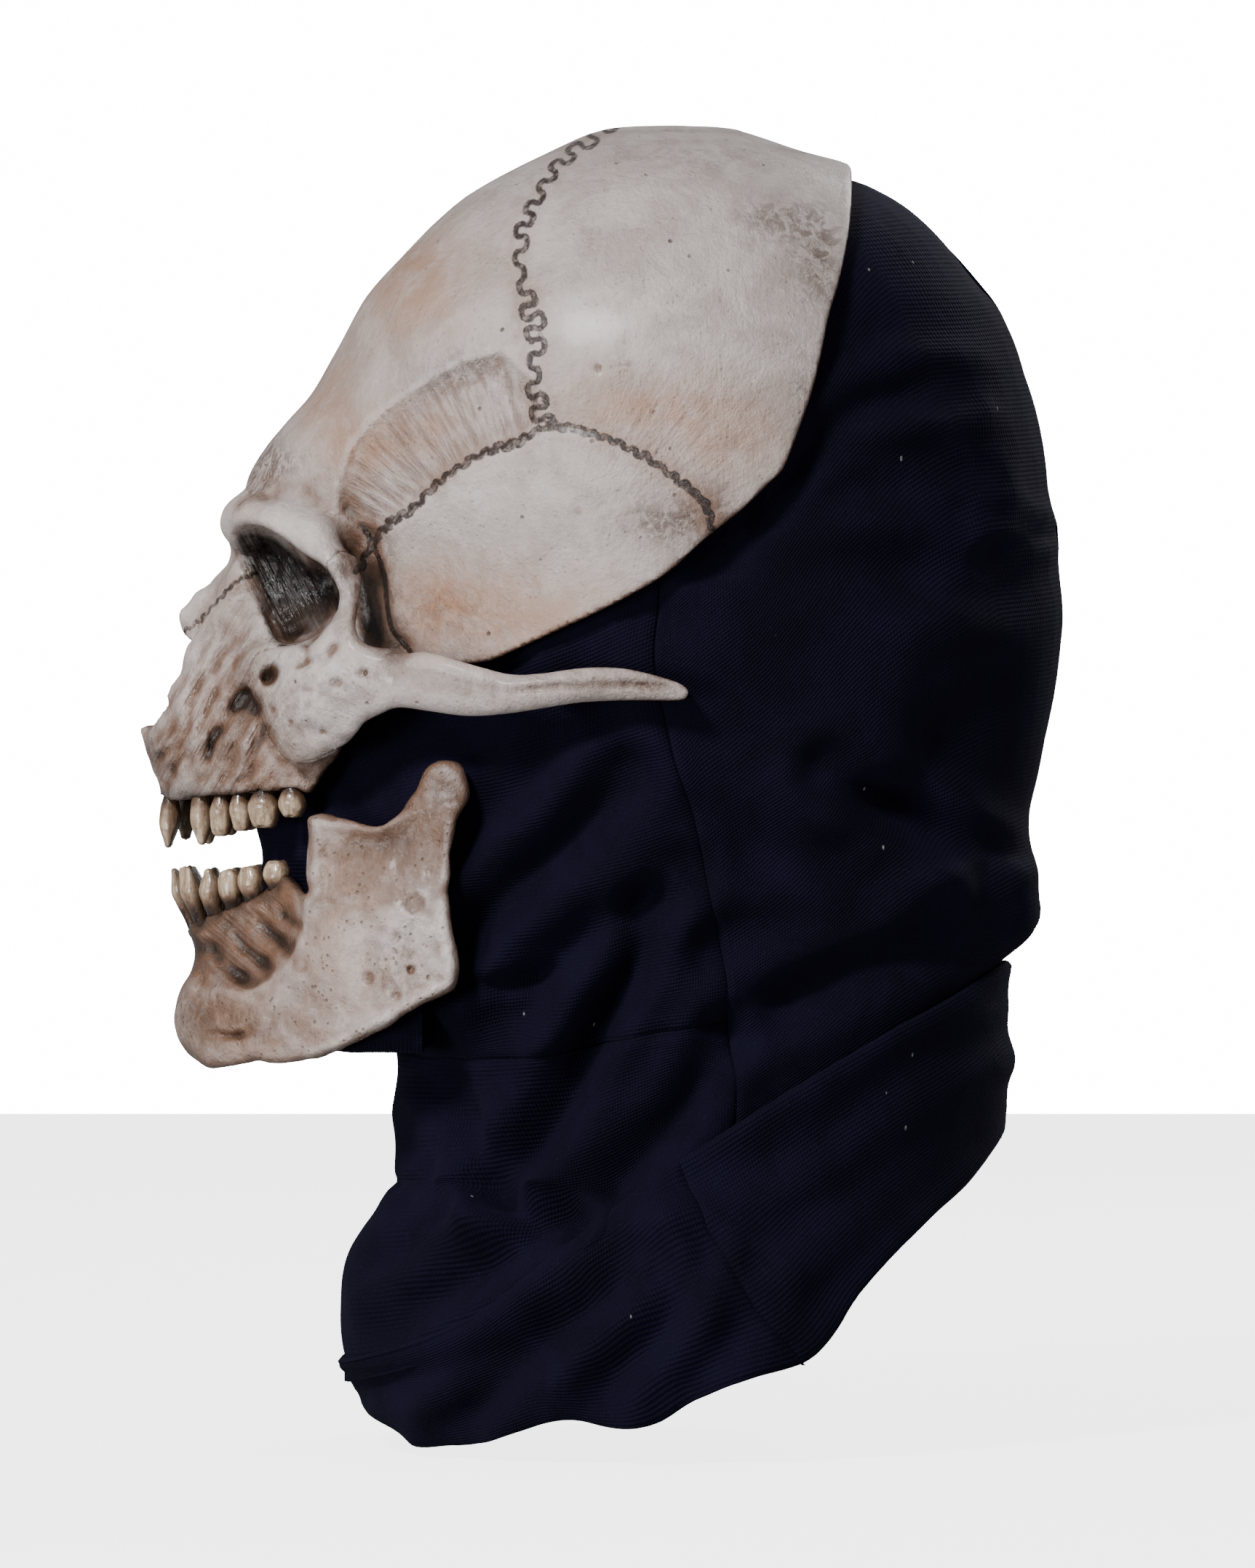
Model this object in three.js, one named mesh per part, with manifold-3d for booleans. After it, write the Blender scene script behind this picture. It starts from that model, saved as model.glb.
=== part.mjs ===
// A latex skull mask on a knit hood: a skull half-shell with cheekbones and teeth, a separate
// jaw that swings with the wearer's chin, and the sewn panels of the hood that carries them.
// Millimetres. +Z up, the face looks along -Y, the wearer's left is +X. The origin is the middle
// of the head space, between the wearer's ears.
import * as THREE from "three";
import { mergeVertices } from "three/addons/utils/BufferGeometryUtils.js";
import Module from "manifold-3d";

const wasm = await Module();
wasm.setup();

// ---- driving dimensions -------------------------------------------------------------------
const LATEX = 4; // wall of the latex castings
const RIDGE = 10; // thickness of the ridge that holds the upper teeth
const JAW_WALL = 5.5;
const KNIT = 2; // one layer of the hood, with its seam allowance
const GAP = 0.4; // between pieces that meet
const LAP = 1.5; // between layers that slide or fold over each other
const ROUND = 36; // points round a section of the head
const WIDE = 260; // longer than anything here, for cutting tools

// ---- the two forms that everything is cut from --------------------------------------------
// A section: height z, front and back y, half width, y of the widest place, and the
// superellipse powers of the front and the back half (2 is an ellipse, 1.6 is pointed).
const section = (z, front, back, half, widest = 18, nf = 2, nb = 2) => ({
  z, front, back, half, widest, nf, nb,
});

const SKULL = [
  section(134.5, 2, 20, 9, 11),
  section(131, -9, 34, 32, 12),
  section(123, -28, 60, 52, 14),
  section(110, -47, 84, 67, 16),
  section(95, -63.5, 98, 77.5),
  section(80, -74.5, 107, 83.5),
  section(64, -83.5, 112, 86.5),
  section(50, -96, 116, 87, 18, 1.75),
  section(38, -105, 117, 87, 18, 1.65),
  section(28, -109.5, 118, 86.5, 18, 1.65),
  section(19, -105.5, 118, 86, 18, 1.75),
  section(6, -119, 118, 86, 18, 1.5),
  section(-8, -119, 118, 86, 18, 1.5),
];
// The upper jaw, under the cheeks.
const MAXILLA = [
  section(4, -119, -40, 40, -68, 1.8),
  section(-12, -119.5, -40, 45, -66, 1.8),
  section(-20, -122, -40, 46, -66, 1.9),
  section(-28, -130, -40, 42, -70, 1.8),
  section(-36, -128.5, -40, 41, -70, 2),
  section(-45, -125, -40, 40, -70, 2),
];

const HOOD = [
  section(129, 2, 28, 12, 14),
  section(124, -14, 52, 38, 14),
  section(112, -38, 78, 57.5, 16),
  section(96, -56, 94, 70),
  section(80, -68, 104, 76.5),
  section(60, -78, 110, 79.5, 18, 1.9),
  section(40, -84, 113.5, 79.5, 18, 1.75),
  section(20, -88, 114.5, 79, 18, 1.65),
  section(0, -90, 116, 79, 18, 1.6),
  section(-20, -91, 114, 77, 18, 1.55),
  section(-40, -94, 110.5, 72, 18, 1.65),
  section(-60, -98, 105, 68),
  section(-75, -99, 110, 66),
  section(-90, -98, 99, 65),
  section(-104, -90, 98, 64),
  section(-114, -63, 98, 64),
  section(-132, -62, 97, 65),
  section(-148, -59, 94, 68),
  section(-160, -71, 92, 74),
  section(-180, -78, 88, 84),
  section(-198, -74, 70, 88),
  section(-220, -52, 50, 84),
];

// ---- outlines seen from the wearer's left, as [y, z] ---------------------------------------
// The rear edge of the latex, from the crown forward to the back of the upper jaw.
const SKULL_RIM = [
  [59.5, 140], [59.5, 121], [57, 100], [51, 79], [46.5, 60], [40.5, 41], [38, 38], [20, 24],
  [0, 6.5], [-20, -1.5], [-37, -8], [-72, -8], [-77, -30], [-84, -45],
];
// The hood's upper edge, glued under the rim of the latex.
const TUCK = [
  [47, 140], [46, 118], [43, 96], [38, 75], [33, 58], [28, 47], [8, 30], [-12, 17], [-32, 9],
  [-50, 3], [-70, -4],
];
const SIDE_SEAM = [
  [9, 60], [8, 9], [8, -15], [14, -42], [21, -75], [26, -104], [28, -125], [27, -150], [26, -240],
];
const THROAT_SEAM = [[40, -104], [26, -104], [0, -108], [-20, -114.5], [-140, -116.5]];
const COWL_FOLD = [
  [130, -70], [96, -90], [75, -103], [45, -122], [18, -137], [0, -151], [-20, -167], [-50, -187],
  [-75, -198], [-100, -206],
];
const COWL_HEM = [
  [130, -112], [101, -131], [90, -143], [72, -163], [50, -189], [28, -195], [12, -208], [-8, -206],
  [-30, -213], [-45, -216], [-62, -211], [-76, -204], [-100, -207],
];
const COWL_SEAM = [[-6, -120], [12, -146], [24, -165], [46, -194], [60, -214]];

const JAW_OUTLINE = [
  [-118, -80], [-108, -77], [-97, -72], [-91, -70], [-85, -72], [-85, -53], [-83.5, -50], [-76, -50],
  [-68, -51], [-60, -47.5], [-55, -40], [-51, -36.3], [-47, -35.5], [-43, -38.5], [-41.3, -44],
  [-44, -52], [-45.3, -72], [-44, -90], [-46, -95.5], [-56, -101.5], [-70, -109], [-80, -113.7],
  [-95, -116], [-108, -117.5], [-116, -113], [-120.5, -106], [-121.5, -99], [-117.5, -91], [-116, -86],
];
const CHEEK_OUTLINE = [
  [-98, -9], [-100, -15], [-96, -26], [-91.5, -35], [-86, -36], [-78, -32.5], [-72, -30], [-69, -25],
  [-61, -21.5], [-42, -24], [-22, -21], [-2, -19.8], [10, -20.5], [15.3, -19.5], [14, -16.5],
  [5, -13], [-6, -11.5], [-32, -13.5], [-50, -9], [-66, -5.5], [-69, 0], [-66, 10], [-70, 20],
  [-77, 18], [-77, 8], [-79.5, 0], [-88, -5.5],
];

// The jaw seen from above: y of its outer face at each distance from the middle.
const JAW_PLAN = [
  [0, -121.6], [14, -119.5], [27, -112], [38, -100.5], [48, -88], [58, -72], [65, -58], [68.5, -40],
  [69, -20],
];

// ---- teeth ----------------------------------------------------------------------------------
const UPPER_ARCH = { front: -123.6, curve: 0.028, gum: -44.5 };
const LOWER_ARCH = { front: -121, curve: 0.03 };
// x along the arch, crown width and depth, crown length.
const UPPER_TEETH = [
  { name: "incisor", x: 4.2, wide: 6.4, deep: 5, long: 13 },
  { name: "side_incisor", x: 11.8, wide: 5.6, deep: 5, long: 12 },
  { name: "canine", x: 19.2, wide: 5.4, deep: 5.8, long: 13.5 },
  { name: "premolar_1", x: 24, wide: 5, deep: 6, long: 10.5 },
  { name: "premolar_2", x: 27.8, wide: 4.8, deep: 6.2, long: 10 },
  { name: "molar_1", x: 31.6, wide: 7.4, deep: 7, long: 9 },
  { name: "molar_2", x: 36, wide: 7, deep: 7, long: 6.5 },
];
const MISSING_TOOTH = "upper_side_incisor_left";
const LOWER_TEETH = [
  { name: "incisor", x: 3.6, wide: 5, deep: 4.6, long: 14, gum: -78.5 },
  { name: "side_incisor", x: 10.6, wide: 5.2, deep: 4.8, long: 14, gum: -78.3 },
  { name: "canine", x: 16.4, wide: 5.2, deep: 5.4, long: 12.5, gum: -77.2 },
  { name: "premolar_1", x: 20.8, wide: 4.9, deep: 5.6, long: 10, gum: -75.5 },
  { name: "premolar_2", x: 24.8, wide: 5.6, deep: 5.8, long: 7.8, gum: -73.6 },
  { name: "molar", x: 29, wide: 6, deep: 6, long: 8, gum: -71.4 },
];

// ---- solids by manifold-3d -------------------------------------------------------------------
function solid(geometry) {
  const bare = geometry.index ? geometry.toNonIndexed() : geometry.clone();
  bare.deleteAttribute("normal");
  bare.deleteAttribute("uv");
  const merged = mergeVertices(bare, 1e-4);
  return new wasm.Manifold(
    new wasm.Mesh({
      numProp: 3,
      vertProperties: merged.attributes.position.array,
      triVerts: new Uint32Array(merged.index.array),
    }),
  );
}

function geometryOf(manifold) {
  const { vertProperties, triVerts } = manifold.getMesh();
  const geometry = new THREE.BufferGeometry();
  geometry.setAttribute("position", new THREE.BufferAttribute(vertProperties, 3));
  geometry.setIndex(new THREE.BufferAttribute(triVerts, 1));
  geometry.computeVertexNormals();
  return geometry;
}

// The point of a section's outline at angle a, from 0 at the front round by the left side.
function outlinePoint(s, a, inset) {
  const frontHalf = Math.cos(a) > 0;
  const reach = (frontHalf ? s.widest - s.front : s.back - s.widest) - inset;
  const power = 2 / (frontHalf ? s.nf : s.nb);
  const along = Math.abs(Math.cos(a)) ** power * reach;
  const across = Math.abs(Math.sin(a)) ** power * (s.half - inset) * Math.sign(Math.sin(a));
  return new THREE.Vector3(across, s.widest + (frontHalf ? -along : along), s.z);
}

// A closed body through the sections, each drawn in by inset (or by inset(z)), with flat ends.
function form(sections, inset = 0) {
  const insetAt = typeof inset === "function" ? inset : () => inset;
  const rings = sections.map((s, i) => {
    const lowered = i === 0 ? { ...s, z: s.z - insetAt(s.z) } : s;
    return Array.from({ length: ROUND }, (_, k) =>
      outlinePoint(lowered, (2 * Math.PI * k) / ROUND, insetAt(s.z)),
    );
  });
  const positions = rings.flat().flatMap((p) => p.toArray());
  const faces = [];
  for (let i = 0; i + 1 < rings.length; i++)
    for (let k = 0; k < ROUND; k++) {
      const [a, b] = [i * ROUND + k, i * ROUND + ((k + 1) % ROUND)];
      // The two sides split their quads the opposite way, so they mirror each other.
      if (k < ROUND / 2) faces.push(a, a + ROUND, b, b, a + ROUND, b + ROUND);
      else faces.push(a, a + ROUND, b + ROUND, a, b + ROUND, b);
    }
  const last = (rings.length - 1) * ROUND;
  for (let k = 1; k + 1 < ROUND; k++) {
    faces.push(0, k, k + 1);
    faces.push(last, last + k + 1, last + k);
  }
  const geometry = new THREE.BufferGeometry();
  geometry.setAttribute("position", new THREE.Float32BufferAttribute(positions, 3));
  geometry.setIndex(faces);
  return solid(geometry);
}

// A prism along X whose outline is given as [y, z].
function prism(outline, x0 = -WIDE / 2, x1 = WIDE / 2) {
  const shape = new THREE.Shape(outline.map(([y, z]) => new THREE.Vector2(y, z)));
  const geometry = new THREE.ExtrudeGeometry(shape, { depth: x1 - x0, bevelEnabled: false, steps: 1 });
  // The shape's x and y become y and z, and the extrusion runs along +X.
  geometry.applyMatrix4(new THREE.Matrix4().set(0, 0, 1, x0, 1, 0, 0, 0, 0, 1, 0, 0, 0, 0, 0, 1));
  return solid(geometry);
}

const moved = (line, dy, dz = 0) => line.map(([y, z]) => [y + dy, z + dz]);
const ALL_AROUND = [[-WIDE, -WIDE], [WIDE, -WIDE], [WIDE, WIDE], [-WIDE, WIDE]];
const left = (body) => body.intersect(prism(ALL_AROUND, GAP / 2, WIDE));
const mirrored = (body) => body.mirror([1, 0, 0]);

// An ellipsoid, for sockets and hollows.
function ellipsoid(radii, centre, segments = 16) {
  const geometry = new THREE.SphereGeometry(1, segments, Math.round(segments * 0.6));
  geometry.scale(...radii);
  geometry.translate(...centre);
  return solid(geometry);
}

// ---- latex pieces ------------------------------------------------------------------------------
const NOSE = [[0, -3], [7, -8], [13, -18], [12, -25], [3, -26.5]]; // half of the opening, as [x, z]

function noseCutter() {
  const half = NOSE.map(([x, z]) => new THREE.Vector2(x, z));
  const other = [...half].reverse().map((p) => new THREE.Vector2(-p.x, p.y));
  const shape = new THREE.Shape([...half, ...other.filter((p) => p.x < 0)]);
  const geometry = new THREE.ExtrudeGeometry(shape, { depth: 60, bevelEnabled: false });
  geometry.rotateX(Math.PI / 2); // the outline stands in x and z, and the cut runs along y
  geometry.translate(0, -90, 0);
  return solid(geometry);
}

const EYE = { x: 35, y: -92, z: 9, radii: [21, 26, 16.5] };
const EYE_HOLE = { x: 36, z: 11, radius: 11 };

function eyeSocket() {
  const centre = [EYE.x, EYE.y, EYE.z];
  const outer = ellipsoid(EYE.radii.map((r) => r + LATEX * 0.75), centre, 18);
  return outer.subtract(ellipsoid(EYE.radii, centre, 18));
}

function eyeHole() {
  const geometry = new THREE.CylinderGeometry(EYE_HOLE.radius, EYE_HOLE.radius, 60, 12);
  geometry.translate(EYE_HOLE.x, -80, EYE_HOLE.z);
  return solid(geometry);
}

const skullSolid = form(SKULL).add(form(MAXILLA));

function skullShell() {
  const keep = prism([...SKULL_RIM, [-92, -44.5], [-126, -44.5], [-140, -44.5], [-140, 150], [59.5, 150]]);
  const hollow = form(SKULL, LATEX).add(form(MAXILLA, (z) => (z < -34 ? RIDGE : LATEX)));
  const socketHollow = ellipsoid(EYE.radii, [EYE.x, EYE.y, EYE.z], 18);
  let shell = skullSolid.subtract(hollow).intersect(keep).subtract(noseCutter());
  for (const side of [(b) => b, mirrored]) {
    const bowl = eyeSocket().intersect(skullSolid);
    shell = shell.subtract(side(socketHollow)).add(side(bowl)).subtract(side(eyeHole()));
  }
  return shell;
}

// A curved plate: the outline stands on the side of the face, and its distance from the middle
// grows from the front to the back.
const CHEEK_BOW = [[-101, 50], [-90, 60], [-78, 67.5], [-60, 76], [-40, 82], [-10, 86.5], [16, 86]];
const CHEEK_DEPTH = 15;
const LEAN_FROM = -4; // above this height the cheekbone's upright leans in to the brow
const LEAN = 0.62;

function along(line, y) {
  const i = Math.max(1, line.findIndex(([at]) => at >= y));
  const [[y0, v0], [y1, v1]] = [line[i - 1], line[i]];
  return v0 + ((v1 - v0) * (y - y0)) / (y1 - y0);
}

function cheekbone() {
  const plate = prism(CHEEK_OUTLINE, -CHEEK_DEPTH, 0).refineToLength(9);
  const bowed = plate.warp((v) => {
    v[0] += along(CHEEK_BOW, v[1]) - LEAN * Math.max(0, v[2] - LEAN_FROM);
  });
  return bowed.subtract(form(SKULL, -GAP)).subtract(form(MAXILLA, -GAP)).subtract(form(HOOD, -LAP));
}

// The jaw's outer line seen from above, moved in by d, from the right side round to the left.
function jawLine(d) {
  const line = JAW_PLAN.map(([x, y]) => new THREE.Vector2(x, y));
  const half = line.map((p, i) => {
    const before = line[Math.max(0, i - 1)];
    const after = line[Math.min(line.length - 1, i + 1)];
    const t = i === 0 ? new THREE.Vector2(1, 0) : after.clone().sub(before).normalize();
    return new THREE.Vector2(p.x - t.y * d, p.y + t.x * d);
  });
  const other = half.slice(1).reverse();
  return [...other.map((p) => new THREE.Vector2(-p.x, p.y)), ...half];
}

function upright(points, z0, z1) {
  const shape = new THREE.Shape(points);
  const geometry = new THREE.ExtrudeGeometry(shape, { depth: z1 - z0, bevelEnabled: false });
  geometry.translate(0, 0, z0);
  return solid(geometry);
}

const jawBand = (near, far, z0, z1) => upright([...jawLine(near), ...jawLine(far).reverse()], z0, z1);

const jawShell = () => jawBand(0, JAW_WALL, -125, -20).intersect(prism(JAW_OUTLINE));

// ---- teeth ------------------------------------------------------------------------------------
const ROOT = 4; // length of the peg in the gum
// [radius, height] of a tooth's crown.
const TOOTH_PROFILE = [[0, 1], [0.55, 0.97], [0.9, 0.7], [1, 0.35], [0.78, 0], [0.6, -0.02]];

// A tooth along +Z from its gum line, with its peg below.
function toothGeometry({ wide, deep, long }, grow = 0) {
  const crown = TOOTH_PROFILE.map(([r, h]) => new THREE.Vector2(r * 0.5 + grow / wide, h * long));
  crown[0].x = 0;
  const peg = [new THREE.Vector2(0.3 + grow / wide, -ROOT - grow), new THREE.Vector2(0, -ROOT - grow)];
  const geometry = new THREE.LatheGeometry([...crown, ...peg].reverse(), 10);
  geometry.rotateX(Math.PI / 2);
  geometry.scale(wide, deep, 1);
  return geometry;
}

function placedTooth(tooth, arch, side, grow = 0) {
  const upper = arch === UPPER_ARCH;
  const slope = 2 * arch.curve * tooth.x;
  const lean = upper ? 0 : 0.26 * (1 - tooth.x / 60);
  const geometry = toothGeometry(tooth, grow);
  if (upper) geometry.rotateX(Math.PI);
  geometry.rotateX(lean);
  geometry.rotateZ(Math.atan(slope));
  const depth = upper ? 0.5 : 2.8; // from the outer face of the gum to the middle of the tooth
  const y = arch.front + arch.curve * tooth.x ** 2 + depth;
  geometry.translate(tooth.x, y, upper ? arch.gum - GAP : tooth.gum + GAP);
  const body = solid(geometry);
  return side === "left" ? body : mirrored(body);
}

// ---- knit panels --------------------------------------------------------------------------------
const hoodLayer = (out = 0) => form(HOOD, -out).subtract(form(HOOD, KNIT - out));
const below = (line, deep = -WIDE) => prism([...line, [line.at(-1)[0], deep], [line[0][0], deep]]);
const frontOfSideSeam = prism([...moved(SIDE_SEAM, -GAP / 2), [-WIDE, -240], [-WIDE, 60]]);
const behindSideSeam = prism([...moved(SIDE_SEAM, GAP / 2), [WIDE, -240], [WIDE, 150], [9, 150]]);
const underTuck = below(TUCK);
const neckEnd = below(moved(COWL_FOLD, 0, -14)); // what is cut off inside the cowl

function backPanel() {
  const behindTuck = prism([[47, 140], ...TUCK, [-70, -240], [WIDE, -240], [WIDE, 140]]);
  return left(hoodLayer().intersect(behindSideSeam).intersect(behindTuck).subtract(neckEnd));
}

// The cheek panel stops behind the space that the chin cup swings through.
const CHEEK_FRONT = [[-70, -4], [-79, -30], [-84, -46], [-84, -54], [-68, -58], [-61, -92], [-56, -117]];

function cheekPanel() {
  const region = prism([...TUCK.slice(4), ...CHEEK_FRONT.slice(1), [60, -117]]);
  const underSeam = below(moved(THROAT_SEAM, 0, GAP / 2));
  return left(hoodLayer().intersect(region).intersect(frontOfSideSeam).subtract(underSeam));
}

const throatPanel = () =>
  hoodLayer().intersect(frontOfSideSeam).intersect(below(moved(THROAT_SEAM, 0, -GAP / 2))).subtract(neckEnd);

const cowl = () =>
  hoodLayer(KNIT + LAP).intersect(below(COWL_FOLD)).subtract(below(COWL_HEM));
const aheadOfSeam = [...moved(COWL_SEAM, -GAP / 2), [-WIDE, -214], [-WIDE, -120]];
const cowlFront = () => cowl().intersect(prism(aheadOfSeam));
const behindSeam = [...moved(COWL_SEAM, GAP / 2), [WIDE, -214], [WIDE, 0], [-6, 0]];
const cowlBack = () => cowl().intersect(prism(behindSeam));

// ---- pieces that follow the chin ------------------------------------------------------------------
const CUP_FLOOR = -111;
const CUP_SIDE = [[-130, -84], [-80, -84], [-80, -130], [-130, -130]];
const GUSSET_SIDE = [
  [-79.6, -66], [-74, -60], [-68.5, -60], [-64, -80], [-60.5, -96], [-57, -114], [-57, -130], [-79.6, -130],
];
const MOUTH_SIDE = [
  [-120, -46.5], [-85, -46.5], [-85, -55], [-75, -58], [-80, -66], [-80, -83.6], [-120, -83.6],
];
const MOUTH_FORWARD = 14.5; // how far the lips' cloth stands behind the jaw's outer face

// A trough of knit inside the jaw, and the part of it that the outline keeps.
function trough(outline) {
  const inset = JAW_WALL + GAP;
  const wall = jawBand(inset, inset + KNIT, CUP_FLOOR - KNIT, -50);
  const floor = upright(jawLine(inset + KNIT / 2), CUP_FLOOR - KNIT, CUP_FLOOR);
  return wall.add(floor).intersect(prism(outline));
}

// The cloth across the mouth, behind both rows of teeth.
function mouthPanel() {
  const nearTeeth = MOUTH_FORWARD + 3.5;
  return jawBand(nearTeeth, nearTeeth + KNIT, -90, -40).intersect(prism(MOUTH_SIDE));
}

// ---- the assembly -----------------------------------------------------------------------------------
const material = (color, roughness) => new THREE.MeshStandardMaterial({ color, roughness, metalness: 0 });
const latex = material(0xc4b5a4, 0.55);
const enamel = material(0xb59a6d, 0.35);
const knit = material(0x14151c, 0.95);

const mask = new THREE.Group();

function add(name, body, finish) {
  const mesh = new THREE.Mesh(geometryOf(body), finish);
  mesh.name = name;
  mask.add(mesh);
}

function addPair(name, body, finish) {
  add(`${name}_left`, body, finish);
  add(`${name}_right`, mirrored(body), finish);
}

let skull = skullShell();
let jaw = jawShell();
for (const side of ["left", "right"]) {
  for (const tooth of UPPER_TEETH) {
    const name = `upper_${tooth.name}_${side}`;
    skull = skull.subtract(placedTooth(tooth, UPPER_ARCH, side, GAP));
    if (name !== MISSING_TOOTH) add(name, placedTooth(tooth, UPPER_ARCH, side), enamel);
  }
  for (const tooth of LOWER_TEETH) {
    jaw = jaw.subtract(placedTooth(tooth, LOWER_ARCH, side, GAP));
    add(`lower_${tooth.name}_${side}`, placedTooth(tooth, LOWER_ARCH, side), enamel);
  }
}
add("skull_shell", skull, latex);
add("jaw_shell", jaw, latex);
addPair("cheekbone", cheekbone(), latex);
addPair("hood_back", backPanel(), knit);
addPair("hood_cheek", cheekPanel(), knit);
add("throat_panel", throatPanel(), knit);
add("cowl_front", cowlFront(), knit);
add("cowl_back", cowlBack(), knit);
add("chin_cup", trough(CUP_SIDE), knit);
add("chin_gusset", trough(GUSSET_SIDE), knit);
add("mouth_panel", mouthPanel(), knit);

export default mask;
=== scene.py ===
"""A latex skull mask on a knit hood: the sculpted castings, painted teeth and sewn cloth.

Lengths are in millimetres until a mesh is made. +Z is up, the face looks along -Y and the
wearer's left is +X, as in the frame.
"""

import math

import bpy
import numpy as np
import openvdb
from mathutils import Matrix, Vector


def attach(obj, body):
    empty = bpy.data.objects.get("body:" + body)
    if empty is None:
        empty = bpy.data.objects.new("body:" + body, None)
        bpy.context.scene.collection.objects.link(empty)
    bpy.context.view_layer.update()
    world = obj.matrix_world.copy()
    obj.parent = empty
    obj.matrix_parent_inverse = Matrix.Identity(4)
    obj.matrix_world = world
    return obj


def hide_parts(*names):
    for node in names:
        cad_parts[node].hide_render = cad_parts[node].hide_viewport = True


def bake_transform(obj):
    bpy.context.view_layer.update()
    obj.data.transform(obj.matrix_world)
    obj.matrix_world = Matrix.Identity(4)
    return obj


MM = 0.001
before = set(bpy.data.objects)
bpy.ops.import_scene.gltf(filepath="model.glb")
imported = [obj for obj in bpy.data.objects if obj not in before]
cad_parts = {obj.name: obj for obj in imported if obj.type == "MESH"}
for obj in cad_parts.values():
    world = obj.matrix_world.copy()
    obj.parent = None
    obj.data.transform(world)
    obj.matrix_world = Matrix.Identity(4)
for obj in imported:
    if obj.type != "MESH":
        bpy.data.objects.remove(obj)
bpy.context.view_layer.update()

# Sizes of the cells that the castings are sculpted in.
SKULL_CELL = 1.1
CHEEK_CELL = 0.7
JAW_CELL = 0.75
# Thicknesses.
SKULL_WALL = 3.6
JAW_WALL = 4.6
CLOTH_THICK = 1.4
TOP = 134.8  # height of the crown


# ---- lines and fields --------------------------------------------------------------------------


def smooth_line(points, steps=6, closed=False):
    """Points along a smooth line through the given ones."""
    p = np.array(points, float)
    n = len(p)
    out = []
    for i in range(n if closed else n - 1):
        a = p[i - 1] if i or closed else p[0]
        b = p[i]
        c = p[(i + 1) % n]
        d = p[(i + 2) % n] if i + 2 < n or closed else p[-1]
        t = (np.arange(steps) / steps)[:, None]
        bend = (2 * a - 5 * b + 4 * c - d) * t**2 + (3 * b - a - 3 * c + d) * t**3
        out.append(0.5 * (2 * b + (c - a) * t + bend))
    if not closed:
        out.append(p[-1:])
    return np.concatenate(out)


def curve(at, knots):
    """The smooth curve through knots (place, value), read at the given places."""
    line = smooth_line(sorted(knots), 8)
    return np.interp(at, line[:, 0], line[:, 1])


def line_distance(u, v, points):
    """Distance in a plane to an open line."""
    far = np.full(np.broadcast(u, v).shape, 1e9)
    for (au, av), (bu, bv) in zip(points[:-1], points[1:]):
        du, dv = bu - au, bv - av
        t = np.clip(((u - au) * du + (v - av) * dv) / max(du * du + dv * dv, 1e-9), 0, 1)
        far = np.minimum(far, (u - au - t * du) ** 2 + (v - av - t * dv) ** 2)
    return np.sqrt(far)


def outline_distance(u, v, points):
    """Distance in a plane to a closed outline, negative inside."""
    ends = np.roll(points, -1, 0)
    inside = np.zeros(np.broadcast(u, v).shape, bool)
    for (au, av), (bu, bv) in zip(points, ends):
        if av != bv:
            crosses = (av > v) != (bv > v)
            inside ^= crosses & (u < au + (v - av) * (bu - au) / (bv - av))
    far = line_distance(u, v, np.concatenate([points, points[:1]]))
    return np.where(inside, -far, far)


def join(a, b, k):
    """Both bodies, with a fillet of about k."""
    h = np.clip(0.5 + 0.5 * (b - a) / k, 0, 1)
    return b + (a - b) * h - k * h * (1 - h)


def common(a, b, k=0.01):
    """What both bodies share."""
    return -join(-a, -b, k)


def carve(a, b, k=0.01):
    """The first body without the second."""
    return -join(-a, b, k)


class Block:
    """Cells of one size that fill a box. x, y and z broadcast against each other."""

    def __init__(self, low, high, cell):
        self.low = np.array(low, float)
        self.cell = cell
        self.shape = tuple(int(np.ceil((h - l) / cell)) + 1 for l, h in zip(low, high))
        axes = [(l + cell * np.arange(n)).astype(np.float32) for l, n in zip(low, self.shape)]
        self.x = axes[0][:, None, None]
        self.y = axes[1][None, :, None]
        self.z = axes[2][None, None, :]

    def side_outline(self, points):
        """A closed outline seen from the side, as a field."""
        return outline_distance(self.y[0], self.z[0], points)[None].astype(np.float32)


def true_distance(f, cell):
    """A field with its slope brought to 1."""
    g = np.gradient(f, cell)
    return f / np.maximum(np.sqrt(g[0] ** 2 + g[1] ** 2 + g[2] ** 2), 0.15)


def rod(b, p, q, rp, rq):
    """A round bar from p to q, with a radius at each end."""
    d = [float(e - s) for s, e in zip(p, q)]
    along = (b.x - p[0]) * d[0] + (b.y - p[1]) * d[1] + (b.z - p[2]) * d[2]
    t = np.clip(along / sum(c * c for c in d), 0, 1)
    away = (b.x - p[0] - t * d[0]) ** 2 + (b.y - p[1] - t * d[1]) ** 2
    away = away + (b.z - p[2] - t * d[2]) ** 2
    return np.sqrt(away) - (rp + (rq - rp) * t)


def rods(b, knots, k=2.0):
    """A chain of rods through knots (x, y, z, radius)."""
    out = None
    for p, q in zip(knots[:-1], knots[1:]):
        r = rod(b, p[:3], q[:3], p[3], q[3])
        out = r if out is None else join(out, r, k)
    return out


def hill(b, centre, reach, height):
    """A soft swelling, to be taken from a field. A negative height makes a dent."""
    s = sum(((axis - c) / r) ** 2 for axis, c, r in zip((b.x, b.y, b.z), centre, reach))
    return height * np.exp(-s)


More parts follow.
